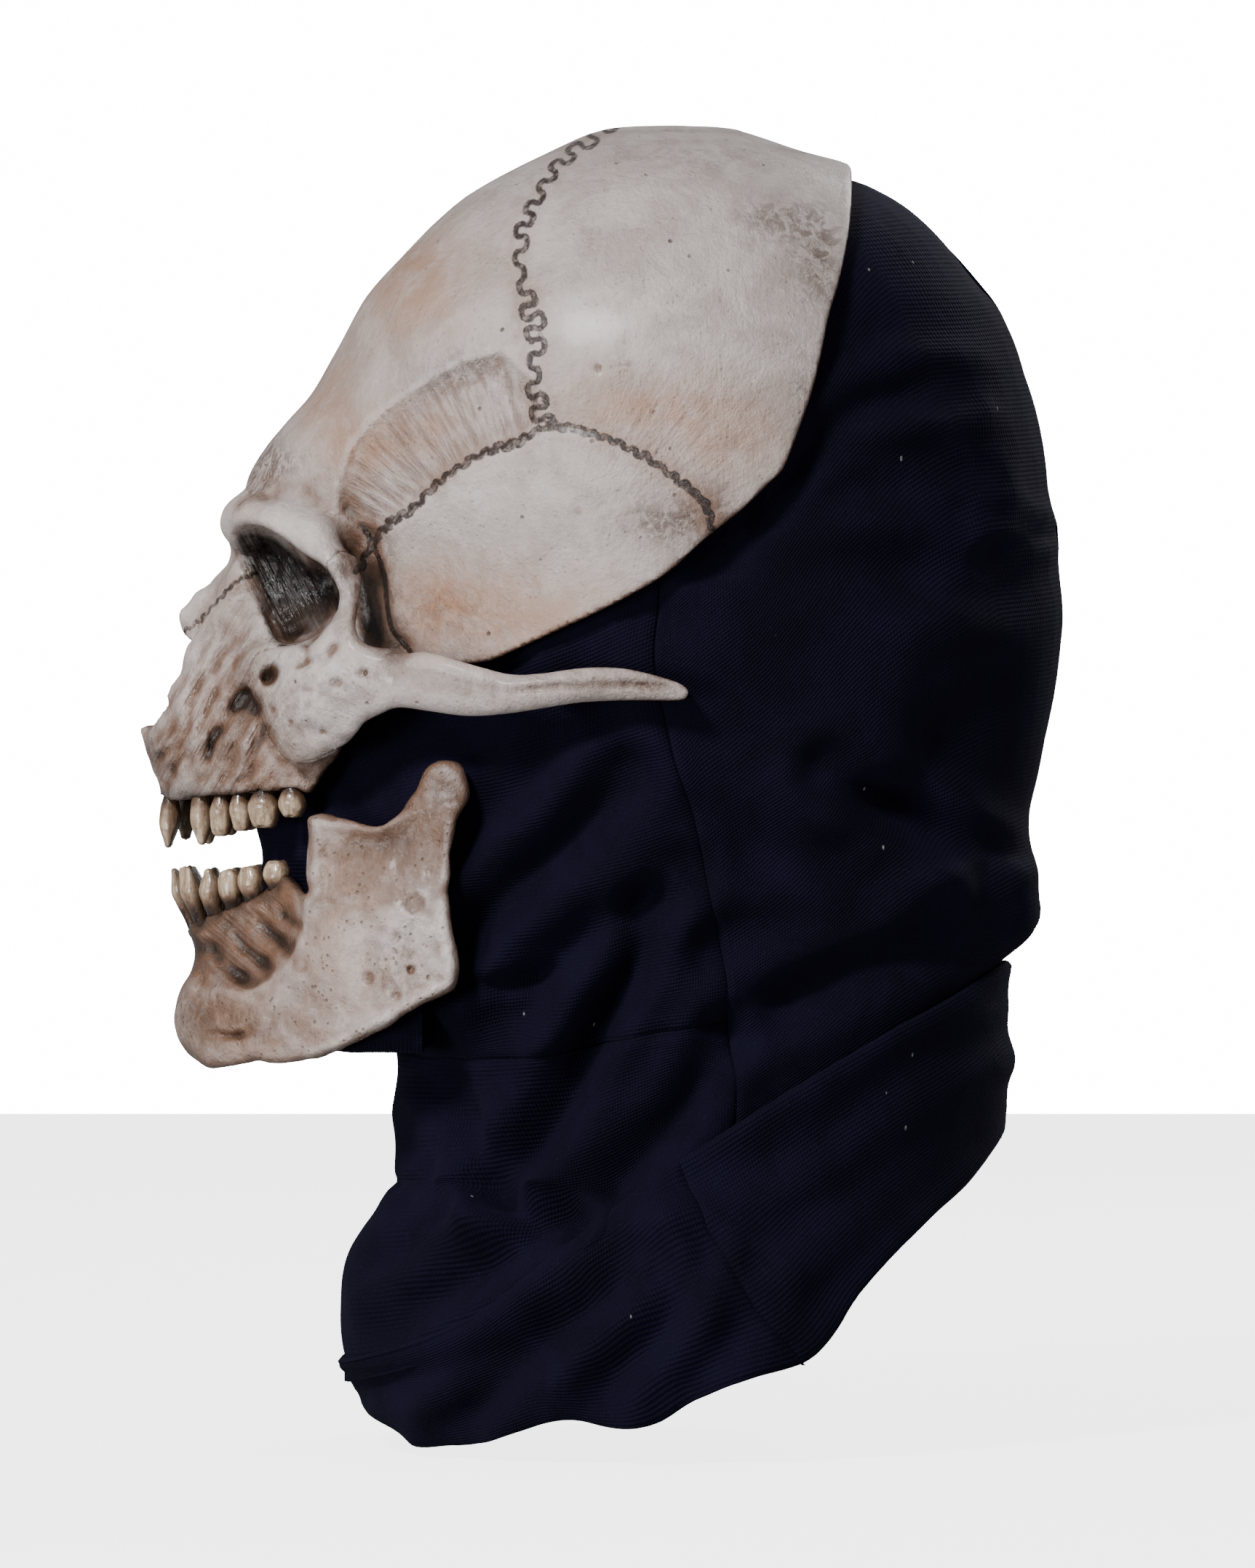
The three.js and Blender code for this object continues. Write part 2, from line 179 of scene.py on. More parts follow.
def blurred(f, cells):
    """The mean of a field over a cube of 2 * cells + 1 cells."""
    for axis in range(3):
        pad = [(0, 0)] * 3
        pad[axis] = (cells + 1, cells)
        total = np.cumsum(np.pad(f, pad, mode="edge"), axis=axis, dtype=np.float64)
        n = total.shape[axis]
        high = np.take(total, range(2 * cells + 1, n), axis)
        f = (high - np.take(total, range(n - 2 * cells - 1), axis)) / (2 * cells + 1)
    return f.astype(np.float32)


def both_sides(f):
    """A field of the left side, mirrored over the middle."""
    return np.concatenate([f[:0:-1], f], 0)


def surface(f, low, cell):
    """Points in mm and faces of the surface where a field is zero."""
    band = 3 * cell
    grid = openvdb.FloatGrid(background=band)
    grid.copyFromArray(np.ascontiguousarray(np.clip(f, -band, band).astype(np.float32)))
    points, _, quads = grid.convertToPolygons(isovalue=0.0, adaptivity=0.0)
    return points * cell + low, quads[:, ::-1]


def sampled(f, points, b):
    """A field of the left side, read at points of either side."""
    p = np.abs(points * (1, 0, 0)) + points * (0, 1, 1)
    p = np.clip((p - b.low) / b.cell, 0, np.array(b.shape) - 1.001)
    i = p.astype(int)
    t = p - i
    f = np.broadcast_to(f, b.shape)
    out = np.zeros(len(p))
    for corner in np.ndindex(2, 2, 2):
        w = np.prod(np.where(corner, t, 1 - t), axis=1)
        out += w * f[i[:, 0] + corner[0], i[:, 1] + corner[1], i[:, 2] + corner[2]]
    return out


# ---- skull: measured lines, as (y, z) unless a comment says otherwise --------------------------

# Curves by height, as (z, value).
FRONT = [(134.8, 9), (134.4, 0), (133, -8), (130.5, -15), (126, -25), (118, -40), (113, -47),
         (100, -60), (89, -70), (78, -76), (71, -80), (62, -85.6), (54, -92.2), (48, -97),
         (41, -101.5), (34, -103), (28, -102), (20, -98), (10, -96), (0, -95), (-14, -95)]
BACK = [(134.8, 9), (134.5, 17), (133.3, 27), (131.2, 36), (128.4, 44.5), (126.2, 52),
        (123.8, 60), (115, 76), (103, 88), (90, 98), (70, 107), (55, 112), (30, 116), (0, 117), (-14, 117)]
HALF = [(134.8, 0), (131, 31), (123, 51), (110, 66), (95, 76.5), (80, 83), (64, 86),
        (38, 87), (0, 86), (-14, 86)]
WIDEST = [(-14, 16), (90, 16), (125, 13), (134.8, 10)]
POWER = [(-14, 1.62), (20, 1.66), (40, 1.72), (56, 1.86), (80, 2.0), (134.8, 2.0)]
MUZZLE_FRONT = [(-50, -124), (-46, -124.2), (-43, -125.4), (-39, -127.3), (-34, -128.4),
                (-30, -128.6), (-27, -126), (-23.5, -123.5), (-20, -121), (-17, -118.5),
                (-10, -115), (0, -109), (8, -104), (20, -98)]
MUZZLE_HALF = [(-50, 39), (-44, 40), (-36, 41.5), (-28, 42.5), (-20, 43), (-8, 43), (6, 40),
               (20, 34)]

ORBIT = [(-105, 26), (-100, 27), (-95, 26), (-90, 23), (-85, 19), (-80, 16),
         (-77.5, 12.5), (-76.5, 8.5), (-77, 4), (-79, 0), (-82, -2.8), (-87, -4.8),
         (-91, -5.2), (-94, -3), (-97, 2.5), (-99.5, 9), (-103.5, 16.5), (-106, 22)]
RIM = [(59.5, 123), (58.5, 110), (57.5, 102), (55, 90), (52, 80), (50, 70), (47.5, 60),
       (44, 50), (40, 40), (36, 36), (30, 30), (20, 22), (10, 13), (0, 7), (-10, 2),
       (-20, -2.5), (-30, -7), (-38, -10), (-52, -11), (-66, -12), (-73, -22), (-76, -33),
       (-80, -38), (-83, -43)]
GUM = [(-84.5, -44.5), (-88, -43.2), (-95, -43.7), (-100, -44), (-105, -44.6),
       (-110, -44.6), (-115, -45.4), (-121, -46.2), (-125, -45.6)]
CHEEK = [(-99, -8.5), (-92, -5.6), (-86, -4), (-81.5, -1.5), (-78.8, 2), (-78, 7),
         (-78, 12), (-79, 16), (-76, 19), (-71, 19.5), (-68, 14), (-67, 8), (-69, 2),
         (-70, -2), (-66, -5), (-60, -6), (-50, -8), (-45, -9.5), (-38, -11.5),
         (-30, -13.3), (-22, -13), (-15, -12), (-8, -11.5), (0, -12), (10, -14.5),
         (14.5, -16.5), (15.3, -18.5), (13, -20), (0, -20), (-12, -20.5), (-22, -22),
         (-32, -23.5), (-42, -24), (-52, -22.7), (-60, -21.7), (-65, -23.5), (-69, -25.5),
         (-71, -28), (-74, -31), (-78, -33), (-82, -35), (-87, -36), (-91, -34.5),
         (-94, -31), (-96, -27), (-98, -22), (-100, -16)]
# The cheekbone's outer face from above, and its thickness, as (y, value).
CHEEK_BOW = [(-104, 30), (-99, 36.5), (-95, 42), (-90, 49), (-84, 56), (-78, 61.5),
             (-70, 66), (-60, 71.5), (-45, 79), (-25, 84.5), (0, 86.5), (18, 85.5)]
CHEEK_THICK = [(-104, 10), (-85, 11), (-74, 8), (-60, 6.5), (-20, 5.5), (6, 5), (18, 3.5)]
# Half the nose opening from the front, as (x, z).
NOSE = [(0, -1.5), (5, -3.5), (9, -10), (12, -17), (12.5, -21), (10, -24.5), (5, -25.8)]
EYE_HOLE = (31, 12.5, 8)  # x, z, radius
# Where the inner wall of the orbit lies, as (y, x).
ORBIT_FLOOR = [(-110, 13), (-104, 14), (-98, 15), (-90, 17.5), (-85, 20), (-77, 25), (-70, 30)]
# Raised bars that make up the face, as (x, y, z, radius) along each, and the fillet at its foot.
BROW = [(3, -100, 24.5, 6.3), (14, -101.5, 28, 6.8), (26, -98, 28.5, 6.6),
        (37, -91.5, 26, 6.4), (47, -82, 21.5, 6.0), (55, -76, 14.5, 4.6)]
BRIDGE = [(3, -101.5, 17.5, 4.5), (3.2, -106.5, 11.5, 4.3), (3.4, -113, 5.8, 3.8),
          (3.6, -116.6, 3.0, 2.8), (3.8, -116, -2, 2.8)]
BESIDE_NOSE = [(11, -101, 13, 5.5), (13, -105, 2, 6.8), (14, -111, -10, 7.2),
               (13, -115.5, -20, 6.4), (7, -120.8, -27, 5.0)]
SPINE = [(0, -118, -27, 4.0), (0, -128.0, -27.4, 2.4), (0, -127, -32, 2.2)]
UNDER_EYE = [(18, -99, -6, 4.5), (30, -97, -10.5, 5.0), (42, -91, -9.5, 5.0), (54, -81, -5, 4.5)]
BARS = [(BROW, 7), (BRIDGE, 5), (BESIDE_NOSE, 6), (SPINE, 3), (UNDER_EYE, 5)]
# Soft swellings and dents: centre, reach and height.
FOREHEAD_FORM = [((60, -46, 22), (26, 24, 30), -4.0), ((30, -90, 50), (22, 12, 13), 1.6)]
FACE_DENTS = [((22, -119, -33), (5, 6, 7), -1.6), ((52, -94, -22), (9, 2.5, 3), -1.0)]
SUTURE_CROWN = [(-5, 135), (-7.2, 132.3), (-15, 125.3), (-20.4, 119.2), (-24, 112), (-27.4, 105),
                (-28.3, 98), (-28.3, 91), (-26, 84), (-24.4, 77), (-24, 70), (-24.8, 63),
                (-23, 56), (-22, 51)]
SUTURE_ARCH = [(-71, 14), (-69, 19), (-66, 23.4), (-61.7, 27.5), (-57, 30), (-53, 34),
               (-48.5, 38), (-43, 41.8), (-36, 45.2), (-29, 47), (-22, 51), (-15, 50.6),
               (-10, 49.2), (-4.6, 47.5), (0.7, 44.8), (6, 42), (11, 38.3), (15.6, 34.8),
               (20, 30.4), (21.5, 24)]
NOSE_SUTURE = [(-119, -1), (-116, 1), (-112, 4.5), (-108, 8.5), (-104, 12.5), (-99, 14.5)]
# The edge of the temple's muscle field, and the hollow that it bounds with the arch suture.
TEMPLE_EDGE = [(-76.5, 30), (-76, 38), (-72.5, 47), (-66, 54.5), (-56, 61.5), (-45, 67.5), (-33, 71)]
TEMPLE_FLOOR = [(-24, 62), (-23, 53), (-30, 46.5), (-36, 45), (-43, 41.5), (-53, 33.5), (-61.7, 27),
                (-67, 22)]

# Grooves in the side of the skull: line, half width, depth, and the least distance from the
# middle where they start.
SKULL_GROOVES = [
    ([(-70, 26), (-66.5, 20), (-64.2, 13), (-63.4, 5), (-62, -1), (-57, -7)], 1.0, 0.9, 34),
    ([(-70, 20), (-68.5, 14), (-68, 8), (-67.5, 1), (-61, -6)], 5.0, 3.8, 34),
    ([(-80, 37), (-75, 31), (-70, 24), (-68, 17)], 5.2, 1.9, 34),
    ([(-104, 29), (-103.4, 32.2), (-99, 34.2), (-94, 33.6)], 1.3, 1.0, 8),
    ([(-103, -19), (-107, -26), (-111.5, -33), (-114, -38)], 2.2, 2.7, 8),
    ([(-100, -22), (-103.5, -30), (-107, -38)], 1.9, 2.4, 8),
    ([(-97.5, -28), (-99, -35), (-101, -41)], 1.6, 1.8, 8),
    ([(-107, -20), (-110.5, -27), (-111, -35)], 1.0, 1.2, 8),
    ([(-119, -29), (-120.5, -35), (-120.5, -41)], 1.4, 1.2, 5),
    ([(-123, -31), (-124.5, -36), (-124, -42)], 1.7, 0.9, 3),
    ([(-108, -8), (-110.5, -17), (-112.5, -26)], 1.7, 0.8, 8),
    ([(-113, -2), (-113.5, -12), (-116, -20)], 1.3, 0.6, 6),
    ([(-99.5, -16), (-98, -24), (-94.5, -30.5), (-92, -33.5)], 2.8, 2.2, 20),
    ([(-75.5, 18), (-74, 15), (-73.4, 12)], 1.2, 0.6, 40),
    ([(-79, 3), (-83, -3), (-85, -9), (-84, -13)], 1.8, 1.2, 40),
    ([(-75, 6), (-75.5, 0), (-78, -5)], 1.8, 0.8, 40),
    ([(-89, -11.8), (-84, -10), (-80, -8.6)], 0.9, 0.6, 30),
    ([(-80.5, -9.5), (-77.5, -6.6), (-75, -3.6)], 1.3, 1.4, 40),
    ([(-66, -12), (-52, -14.5), (-36, -18)], 2.6, 0.8, 50),
    ([(-30, -17.6), (-16, -16.6), (-2, -16), (8, -17)], 1.0, 0.9, 60),
    ([(-94, -20.5), (-93.2, -24)], 1.0, 1.4, 30),
    ([(-90, -19), (-84, -17), (-77, -20), (-74, -23)], 2.0, 0.8, 30),
    ([(-90, -28), (-84, -27), (-80, -29)], 1.8, 0.7, 30),
]
# Pits in the side of the skull: y, z, radius, depth.
SKULL_PITS = [(-94.2, -13.4, 2.6, 3.6), (-102, -20, 3.8, 2.8), (-69.5, -13, 2.0, 0.8),
              (-80, -28.5, 1.2, 0.9), (-13, 29, 1.2, 0.6), (-8, 66, 1.2, 0.7),
              (-88.5, -25.5, 1.0, 0.6), (-84, -22, 0.9, 0.5), (-76, -16, 1.4, 0.6)]


def wriggled(line, amount, pitch, loops, seed):
    """A line turned into a suture: it swings from side to side and doubles back on itself."""
    p = smooth_line(line, 8)
    step = np.r_[0, np.cumsum(np.hypot(*np.diff(p, axis=0).T))]
    s = np.arange(0, step[-1], pitch / 18)
    base = np.stack([np.interp(s, step, p[:, i]) for i in (0, 1)], 1)
    way = np.gradient(base, axis=0)
    way /= np.linalg.norm(way, axis=1, keepdims=True)
    rng = np.random.default_rng(seed)
    knots = np.arange(0, step[-1] + pitch, pitch)
    beat = np.interp(s, knots, rng.uniform(0.45, 1.25, len(knots)))
    drift = np.interp(s, knots[::2], rng.uniform(-1, 1, len(knots[::2])))
    turn = 2 * math.pi * s / pitch + 1.5 * drift
    side = amount * beat * np.sin(turn)
    along = -loops * pitch * beat * np.sin(2 * turn)
    return base + way * along[:, None] + way[:, ::-1] * (-1, 1) * side[:, None]


def lumps(b, size, seed):
    """Smooth random relief over a block, about -1 to 1, with lumps of about size mm."""
    rng = np.random.default_rng(seed)
    spans = [n * b.cell / size for n in b.shape]
    f = rng.uniform(-1, 1, [int(span) + 4 for span in spans])
    for axis, (n, span) in enumerate(zip(b.shape, spans)):
        at = np.linspace(0.5, span + 0.5, n)
        i = at.astype(int)
        t = at - i
        t = (t * t * (3 - 2 * t)).reshape([-1 if k == axis else 1 for k in range(3)])
        f = np.take(f, i, axis) * (1 - t) + np.take(f, i + 1, axis) * t
    return (1.6 * f).astype(np.float32)


def side_noise(b, size, seed):
    """Relief seen from the side, the same at every x."""
    thin = Block((0, b.low[1], b.low[2]), (b.cell, b.low[1] + b.cell * (b.shape[1] - 1),
                                           b.low[2] + b.cell * (b.shape[2] - 1)), b.cell)
    return lumps(thin, size, seed)[0, :b.shape[1], :b.shape[2]]


def groove_depths(b, grooves, pits, far=200):
    """Depths of the grooves and pits seen from the side, for the parts less than far from the middle."""
    y = b.y[0] + 0.55 * side_noise(b, 5, 21)
    z = b.z[0] + 0.55 * side_noise(b, 5, 23)
    strength = 0.95 + 0.14 * side_noise(b, 4, 25)
    total = np.zeros(strength.shape)
    for line, width, depth, start in grooves:
        if start < far:
            d = line_distance(y, z, smooth_line(line, 4))
            (ay, az), (by, bz) = line[0], line[-1]
            end = np.minimum(np.hypot(y - ay, z - az), np.hypot(y - by, z - bz))
            fade = np.clip(0.2 + end / (2.5 * width), 0, 1)
            total = total + depth * fade * np.exp(-((d / width) ** 2)) * strength
    for py, pz, radius, depth in pits:
        d = np.hypot(y - py, z - pz)
        total = total + depth * np.exp(-((d / radius) ** 4))
    return total.astype(np.float32)


def grooved(f, b, grooves, pits):
    """Cuts grooves and pits into the left side, seen from the side."""
    near = groove_depths(b, grooves, pits, 34)
    aside = groove_depths(b, grooves, pits) - near
    near = near[None] * np.clip((b.x - 6) / 5, 0, 1)
    return f + near + aside[None] * np.clip((b.x - 32) / 6, 0, 1)


def by_depth(knots, top):
    """Knots by height turned into knots by the root of the depth under the top."""
    return [(math.sqrt(max(top - z, 0)), v) for z, v in knots]


def cranium(b):
    """The brain case: ovals by height, from the front, back and half-width lines."""
    depth = np.sqrt(np.maximum(TOP - b.z, 0))
    front = curve(depth, by_depth(FRONT, TOP))
    back = curve(depth, by_depth(BACK, TOP))
    half = np.maximum(curve(depth, by_depth(HALF, TOP)), 0.5)
    widest = curve(b.z, WIDEST)
    ahead = b.y < widest
    reach = np.maximum(np.where(ahead, widest - front, back - widest), 0.5)
    n = np.where(ahead, curve(b.z, POWER), 2.0)
    r = ((b.x / half) ** n + (np.abs(b.y - widest) / reach) ** n) ** (1 / n)
    f = (r - 1) * np.minimum(half, reach)
    f = np.where(b.z > TOP, np.maximum(f, b.z - TOP + 0.5), f)
    return true_distance(f.astype(np.float32), b.cell)


def muzzle(b):
    """The upper jaw: a narrower oval in front of the brain case."""
    front = curve(b.z, MUZZLE_FRONT)
    half = curve(b.z, MUZZLE_HALF)
    reach = -64 - front
    n = 2.05
    r = ((b.x / half) ** n + (np.abs(b.y + 64) / reach) ** n) ** (1 / n)
    f = (r - 1) * np.minimum(half, reach)
    return common(true_distance(f.astype(np.float32), b.cell), b.z - 12, 10.0)


def cheekbone(b):
    """The cheekbone: its outline from the side, on a plate that bows out to the back."""
    outer = curve(b.y, CHEEK_BOW)
    lean = 0.45 * np.maximum(b.z + 4, 0) + 0.02 * np.maximum(-16 - b.z, 0) ** 2
    thick = curve(b.y, CHEEK_THICK)
    centre = outer - lean - thick / 2
    slope = np.gradient(centre, b.cell, axis=1)
    plate = np.abs(b.x - centre) / np.sqrt(1 + slope**2) - thick / 2
    return common(b.side_outline(smooth_line(CHEEK, 4, True)), plate, 5.0)


def orbit(b):
    """The hollow of the orbit."""
    floor = curve(b.y, ORBIT_FLOOR) + 5.0 * ((b.z - 9) / 15) ** 2
    return common(b.side_outline(smooth_line(ORBIT, 4, True)), (floor - b.x) * 0.92, 7.0)


def temple_relief(b):
    """How deep the temple lies, less how far the bone under the arch suture stands out."""
    temple = np.concatenate([smooth_line(TEMPLE_EDGE, 4), smooth_line(TEMPLE_FLOOR, 4)])
    sunk = np.clip(-b.side_outline(temple) / 5, 0, 1)
    arch = np.concatenate([smooth_line(SUTURE_ARCH, 3), [(20, -20), (-60, -20)]])
    scale = np.clip(-b.side_outline(arch) / 1.4, 0, 1) * np.clip((b.x - 30) / 10, 0, 1)
    return 2.4 * np.sqrt(sunk) * (b.x > 20), 0.7 * scale


def roughened(f, b):
    """The form with small unevenness: lumps over the face, and upright ribs over the roots."""
    face = np.clip((-58 - b.y) / 16, 0, 1) * np.clip((28 - b.z) / 10, 0, 1)
    rough = 0.4 * lumps(b, 8, 3) + 0.26 * lumps(b, 4, 4) + 0.2 * lumps(b, 2.2, 8)
    aside = np.clip((b.x - 34) / 8, 0, 1)
    sweep = b.y * 0.87 - b.z * 0.5 + 2.6 * side_noise(b, 9, 41)[None]
    ribs = 0.55 * np.sin(sweep * 2 * math.pi / 5.4) * (1 - aside) * np.clip((-92 - b.y) / 8, 0, 1)
    ribs = ribs * np.clip((b.x - 4) / 8, 0, 1)
    rough = rough * (1 - 0.35 * aside) + ribs * np.clip((2 - b.z) / 12, 0, 1)
    return f + 0.3 * lumps(b, 17, 2) + rough * (0.1 + 0.8 * face)


def whole_skull(b):
    """The outer form of the skull with its cheekbones, solid inside."""
    f = cranium(b)
    for centre, reach, height in FOREHEAD_FORM:
        f = f - hill(b, centre, reach, height)
    sunk, proud = temple_relief(b)
    f = join(f + sunk - proud, muzzle(b), 6.0)
    for bar, fillet in BARS:
        f = join(f, rods(b, bar), fillet)
    f = join(f, cheekbone(b) - 0.6, 3.5)
    for tooth in UPPER:
        f = join(f, root_swell(b, "upper", tooth), 3.5)
    f = carve(f, orbit(b), 2.4)
    f = grooved(f, b, SKULL_GROOVES, SKULL_PITS)
    for centre, reach, height in FACE_DENTS:
        f = f - hill(b, centre, reach, height)
    return roughened(f, b)


def root_swell(b, arch, tooth):
    """The swelling over a tooth's root."""
    origin, _, out, crown = tooth_place(arch, tooth)
    start = origin - crown * 11 - out * 0.6
    end = origin - crown * 0.6 - out * 0.2
    return rod(b, start, end, 1.2, 0.4 * tooth.wide + 0.5)


# ---- jaw ---------------------------------------------------------------------------------------

JAW = [(-85, -51), (-83, -49.5), (-80, -49), (-76, -49.5), (-72, -50.5), (-68, -51),
       (-65, -50.5), (-60, -47), (-57, -44), (-55, -41), (-53, -37.5), (-50, -35.5),
       (-47, -35.3), (-44, -36.5), (-42.2, -39.5), (-41.5, -44), (-42.5, -48), (-44, -52),
       (-45.2, -60), (-45.8, -72), (-45.6, -79), (-44.2, -85), (-43.9, -91), (-45, -95.5),
       (-50, -98.5), (-56, -101.5), (-62, -105), (-68, -108.5), (-75, -112), (-82, -114.5),
       (-90, -115.7), (-100, -116), (-107, -117.5), (-112, -117), (-116, -114.5),
       (-119.4, -110.5), (-121.3, -105), (-121.5, -100), (-120, -96.5), (-117, -92),
       (-115.7, -86), (-117.2, -80.5), (-114, -79.2), (-110, -77), (-106, -75.3),
       (-102, -73.3), (-98, -71.3), (-94.5, -69), (-91.5, -65.5), (-88.5, -66.5), (-85, -69.8),
       (-85.2, -66), (-84.9, -58)]
# The raised edge round the sunken part under the teeth.
JAW_EDGE = [(-86, -48), (-85.3, -58), (-85.5, -68), (-84.8, -75), (-86, -82), (-88, -86),
            (-90.5, -90), (-95, -94), (-101, -96.5), (-108, -96), (-114, -97), (-121, -92)]
# The jaw's outer face from above, as (x, y).
JAW_PLAN = [(0, -121.8), (8, -121.2), (16, -118.8), (27, -112), (38, -100.5), (48, -88),
            (58, -72), (65, -58), (68.5, -40), (69, -20)]
# How far the face sinks under the teeth, as (y, value), and the slope of the lower edge by height.
JAW_SINK = [(-124, 2.5), (-118, 4.5), (-112, 7), (-102, 9), (-94, 11), (-84, 13), (-40, 13)]
JAW_LEAN = [(-120, 1.5), (-116, 0.6), (-108, 0), (-80, 0), (-50, 1.5), (-36, 2)]
# Swellings, grooves and pits, given as the skull's are.
JAW_SWELLS = [((62, -60, -60), (14, 13, 12), -1.4), ((55, -76, -86), (10, 5, 12), 1.4),
              ((10, -121, -106), (12, 8, 8), 1.2)]
JAW_GROOVES = [
    ([(-113.5, -82), (-109, -87), (-103, -92.5), (-96.5, -96)], 2.7, 4.2, 4),
    ([(-106.5, -80.5), (-100, -86), (-93, -92)], 2.5, 4.0, 4),
    ([(-99.5, -77.5), (-93, -82.5), (-86.5, -88.5)], 2.5, 3.8, 4),
    ([(-94, -73.5), (-88.5, -78), (-83.5, -82.5)], 2.2, 2.6, 4),
    ([(-115, -82), (-113.5, -90), (-114, -97), (-117.5, -102)], 2.0, 1.6, 4),
    ([(-110, -108.3), (-105, -108.6), (-100.5, -107.6)], 1.2, 3.2, 4),
    ([(-100, -107), (-96, -104.6)], 1.8, 0.8, 4),
    ([(-80, -56), (-68, -58), (-58, -55), (-52, -48)], 5.5, 2.6, 30),
    ([(-56, -80), (-57.6, -86), (-57.4, -90.5)], 1.6, 1.0, 30),
    ([(-50.5, -56), (-49, -68), (-49.5, -82)], 1.7, 0.5, 30),
    ([(-114, -101), (-106, -102), (-98, -101)], 3.0, 0.8, 4),
    ([(-80, -62), (-78, -76), (-79, -90)], 4.0, 0.9, 30),
]
JAW_PITS = [(-55.9, -72.5, 2.4, 1.0), (-60.1, -81.4, 1.6, 0.6), (-57.3, -90.2, 1.2, 1.6),
            (-68.2, -92.8, 1.7, 0.9), (-63.9, -94.6, 1.1, 0.6), (-60.6, -97, 1.2, 0.7),
            (-75, -99, 1.2, 0.5), (-52, -64, 1.1, 0.5)]


def under_teeth(b):
    """How far inside the raised edge a place is, towards the teeth."""
    far = [(-140, -92), (-140, -40), (-86, -40)]
    return np.maximum(-b.side_outline(np.concatenate([smooth_line(JAW_EDGE, 5), far])), 0)


def jaw_face(b, shift):
    """The jaw's outer face from its line seen from above, set back by shift at each place."""
    step = 0.5
    x = np.arange(-2, 92, step)
    plan = np.concatenate([smooth_line(JAW_PLAN, 6), [(69, 0), (-30, 0), (-30, -121.8)]])
    flat = outline_distance(x[:, None], b.y[0, :, 0][None], plan)
    at = np.clip((b.x + shift + 2) / step, 0, len(x) - 1.001)
    i = at.astype(int)
    rows = np.arange(b.shape[1])[None, :, None]
    f = flat[i, rows] * (1 - at + i) + flat[i + 1, rows] * (at - i)
    return true_distance(f.astype(np.float32), b.cell)


def jaw_form(b):
    """The jaw's wall without its teeth, and the outer face that it was made from."""
    inside = under_teeth(b)
    low = curve(b.z, JAW_LEAN)
    relief = groove_depths(b, JAW_GROOVES, JAW_PITS) + 0.5 * side_noise(b, 10, 31)
    relief = relief + 0.3 * side_noise(b, 4.5, 32) + 0.22 * side_noise(b, 2.2, 33)
    shift = curve(b.y, JAW_SINK) * (1 - np.exp(-inside / 4.5)) + low + relief[None]
    rim = b.side_outline(smooth_line(JAW, 4, True)) + 2.6
    raised = 1.4 * np.exp(-((rim / 2.0) ** 2)) * np.clip((b.y + 86) / 3, 0, 1)
    shift = shift - raised * np.clip((-47 - b.z) / 5, 0, 1)
    face = jaw_face(b, shift)
    wall = JAW_WALL + JAW_WALL * np.clip(inside / 12, 0, 1) * (b.y < -82)
    wall = wall + 5 * np.clip((-106 - b.y) / 8, 0, 1)
    knob = curve(b.y, [(-125, 1), (-80, 0.5), (-60, 0), (-50, 2.2), (-42, 2.8)])
    wall = wall + knob * np.clip((b.z + 52) / 8, 0, 1)
    plate = common(face, -(face + wall), 2.0)
    f = common(b.side_outline(smooth_line(JAW, 4, True)), plate, 4.2)
    for centre, reach, height in JAW_SWELLS:
        f = f - hill(b, centre, reach, height)
    return f + 0.2 * lumps(b, 5, 6), face


# ---- teeth -------------------------------------------------------------------------------------


class Tooth:
    """One tooth: x along its arch, crown width, depth and length, and how its edge is shaped."""

    def __init__(self, name, x, wide, deep, long, kind, gum, lean=0.0, turn=0.0):
        self.name = name
        self.x = x
        self.wide = wide
        self.deep = deep
        self.long = long
        self.kind = kind
        self.gum = gum
        self.lean = lean
        self.turn = turn


UPPER = [
    Tooth("incisor", 4.2, 6.4, 5.0, 13.0, "edge", -44.6, 0.02),
    Tooth("side_incisor", 11.8, 5.6, 4.8, 11.4, "edge", -44.2, 0.0, 0.06),
    Tooth("canine", 18.6, 6.3, 6.0, 13.4, "point", -43.2, 0.03),
    Tooth("premolar_1", 23.4, 6.0, 6.4, 10.6, "two", -43.8),
    Tooth("premolar_2", 27.0, 5.8, 6.6, 9.6, "two", -43.4),
    Tooth("molar_1", 30.8, 8.6, 7.4, 9.0, "four", -43.2),
    Tooth("molar_2", 34.9, 7.4, 6.8, 6.6, "four", -42.8),
]
LOWER = [
    Tooth("incisor", 3.6, 5.2, 4.8, 11.8, "edge", -76.6, 0.3, 0.1),
    Tooth("side_incisor", 10.4, 6.2, 5.2, 12.2, "edge", -76.4, 0.27, -0.12),
    Tooth("canine", 16.2, 6.6, 6.0, 10.4, "point", -75.6, 0.22, 0.15),
    Tooth("premolar_1", 20.8, 6.6, 6.4, 8.4, "two", -73.8, 0.17, -0.1),
    Tooth("premolar_2", 24.8, 7.2, 6.6, 7.4, "two", -72.0, 0.12, 0.1),
    Tooth("molar", 29.0, 7.2, 7.0, 6.4, "four", -69.4, 0.08),
]
# Each arch's front y, how much it bends, and how far the roots lie behind it.
ARCHES = {"upper": (-123.6, 0.028, 0.5), "lower": (-121.0, 0.030, 2.8)}
MISSING = "upper_side_incisor_left"
ROOT = 6.0  # how far a tooth reaches under the gum
SOCKET = 2.5  # how far its socket does
# A crown's width and depth by height, -1 root to 1 edge, as shares of its full size.
TOOTH_WIDE = [(-1, 0.45), (-0.3, 0.58), (0, 0.62), (0.22, 0.8), (0.5, 1.02), (0.8, 0.98), (1, 0.8)]
TOOTH_DEEP = [(-1, 0.45), (-0.3, 0.6), (0, 0.68), (0.28, 0.98), (0.58, 1.04)]


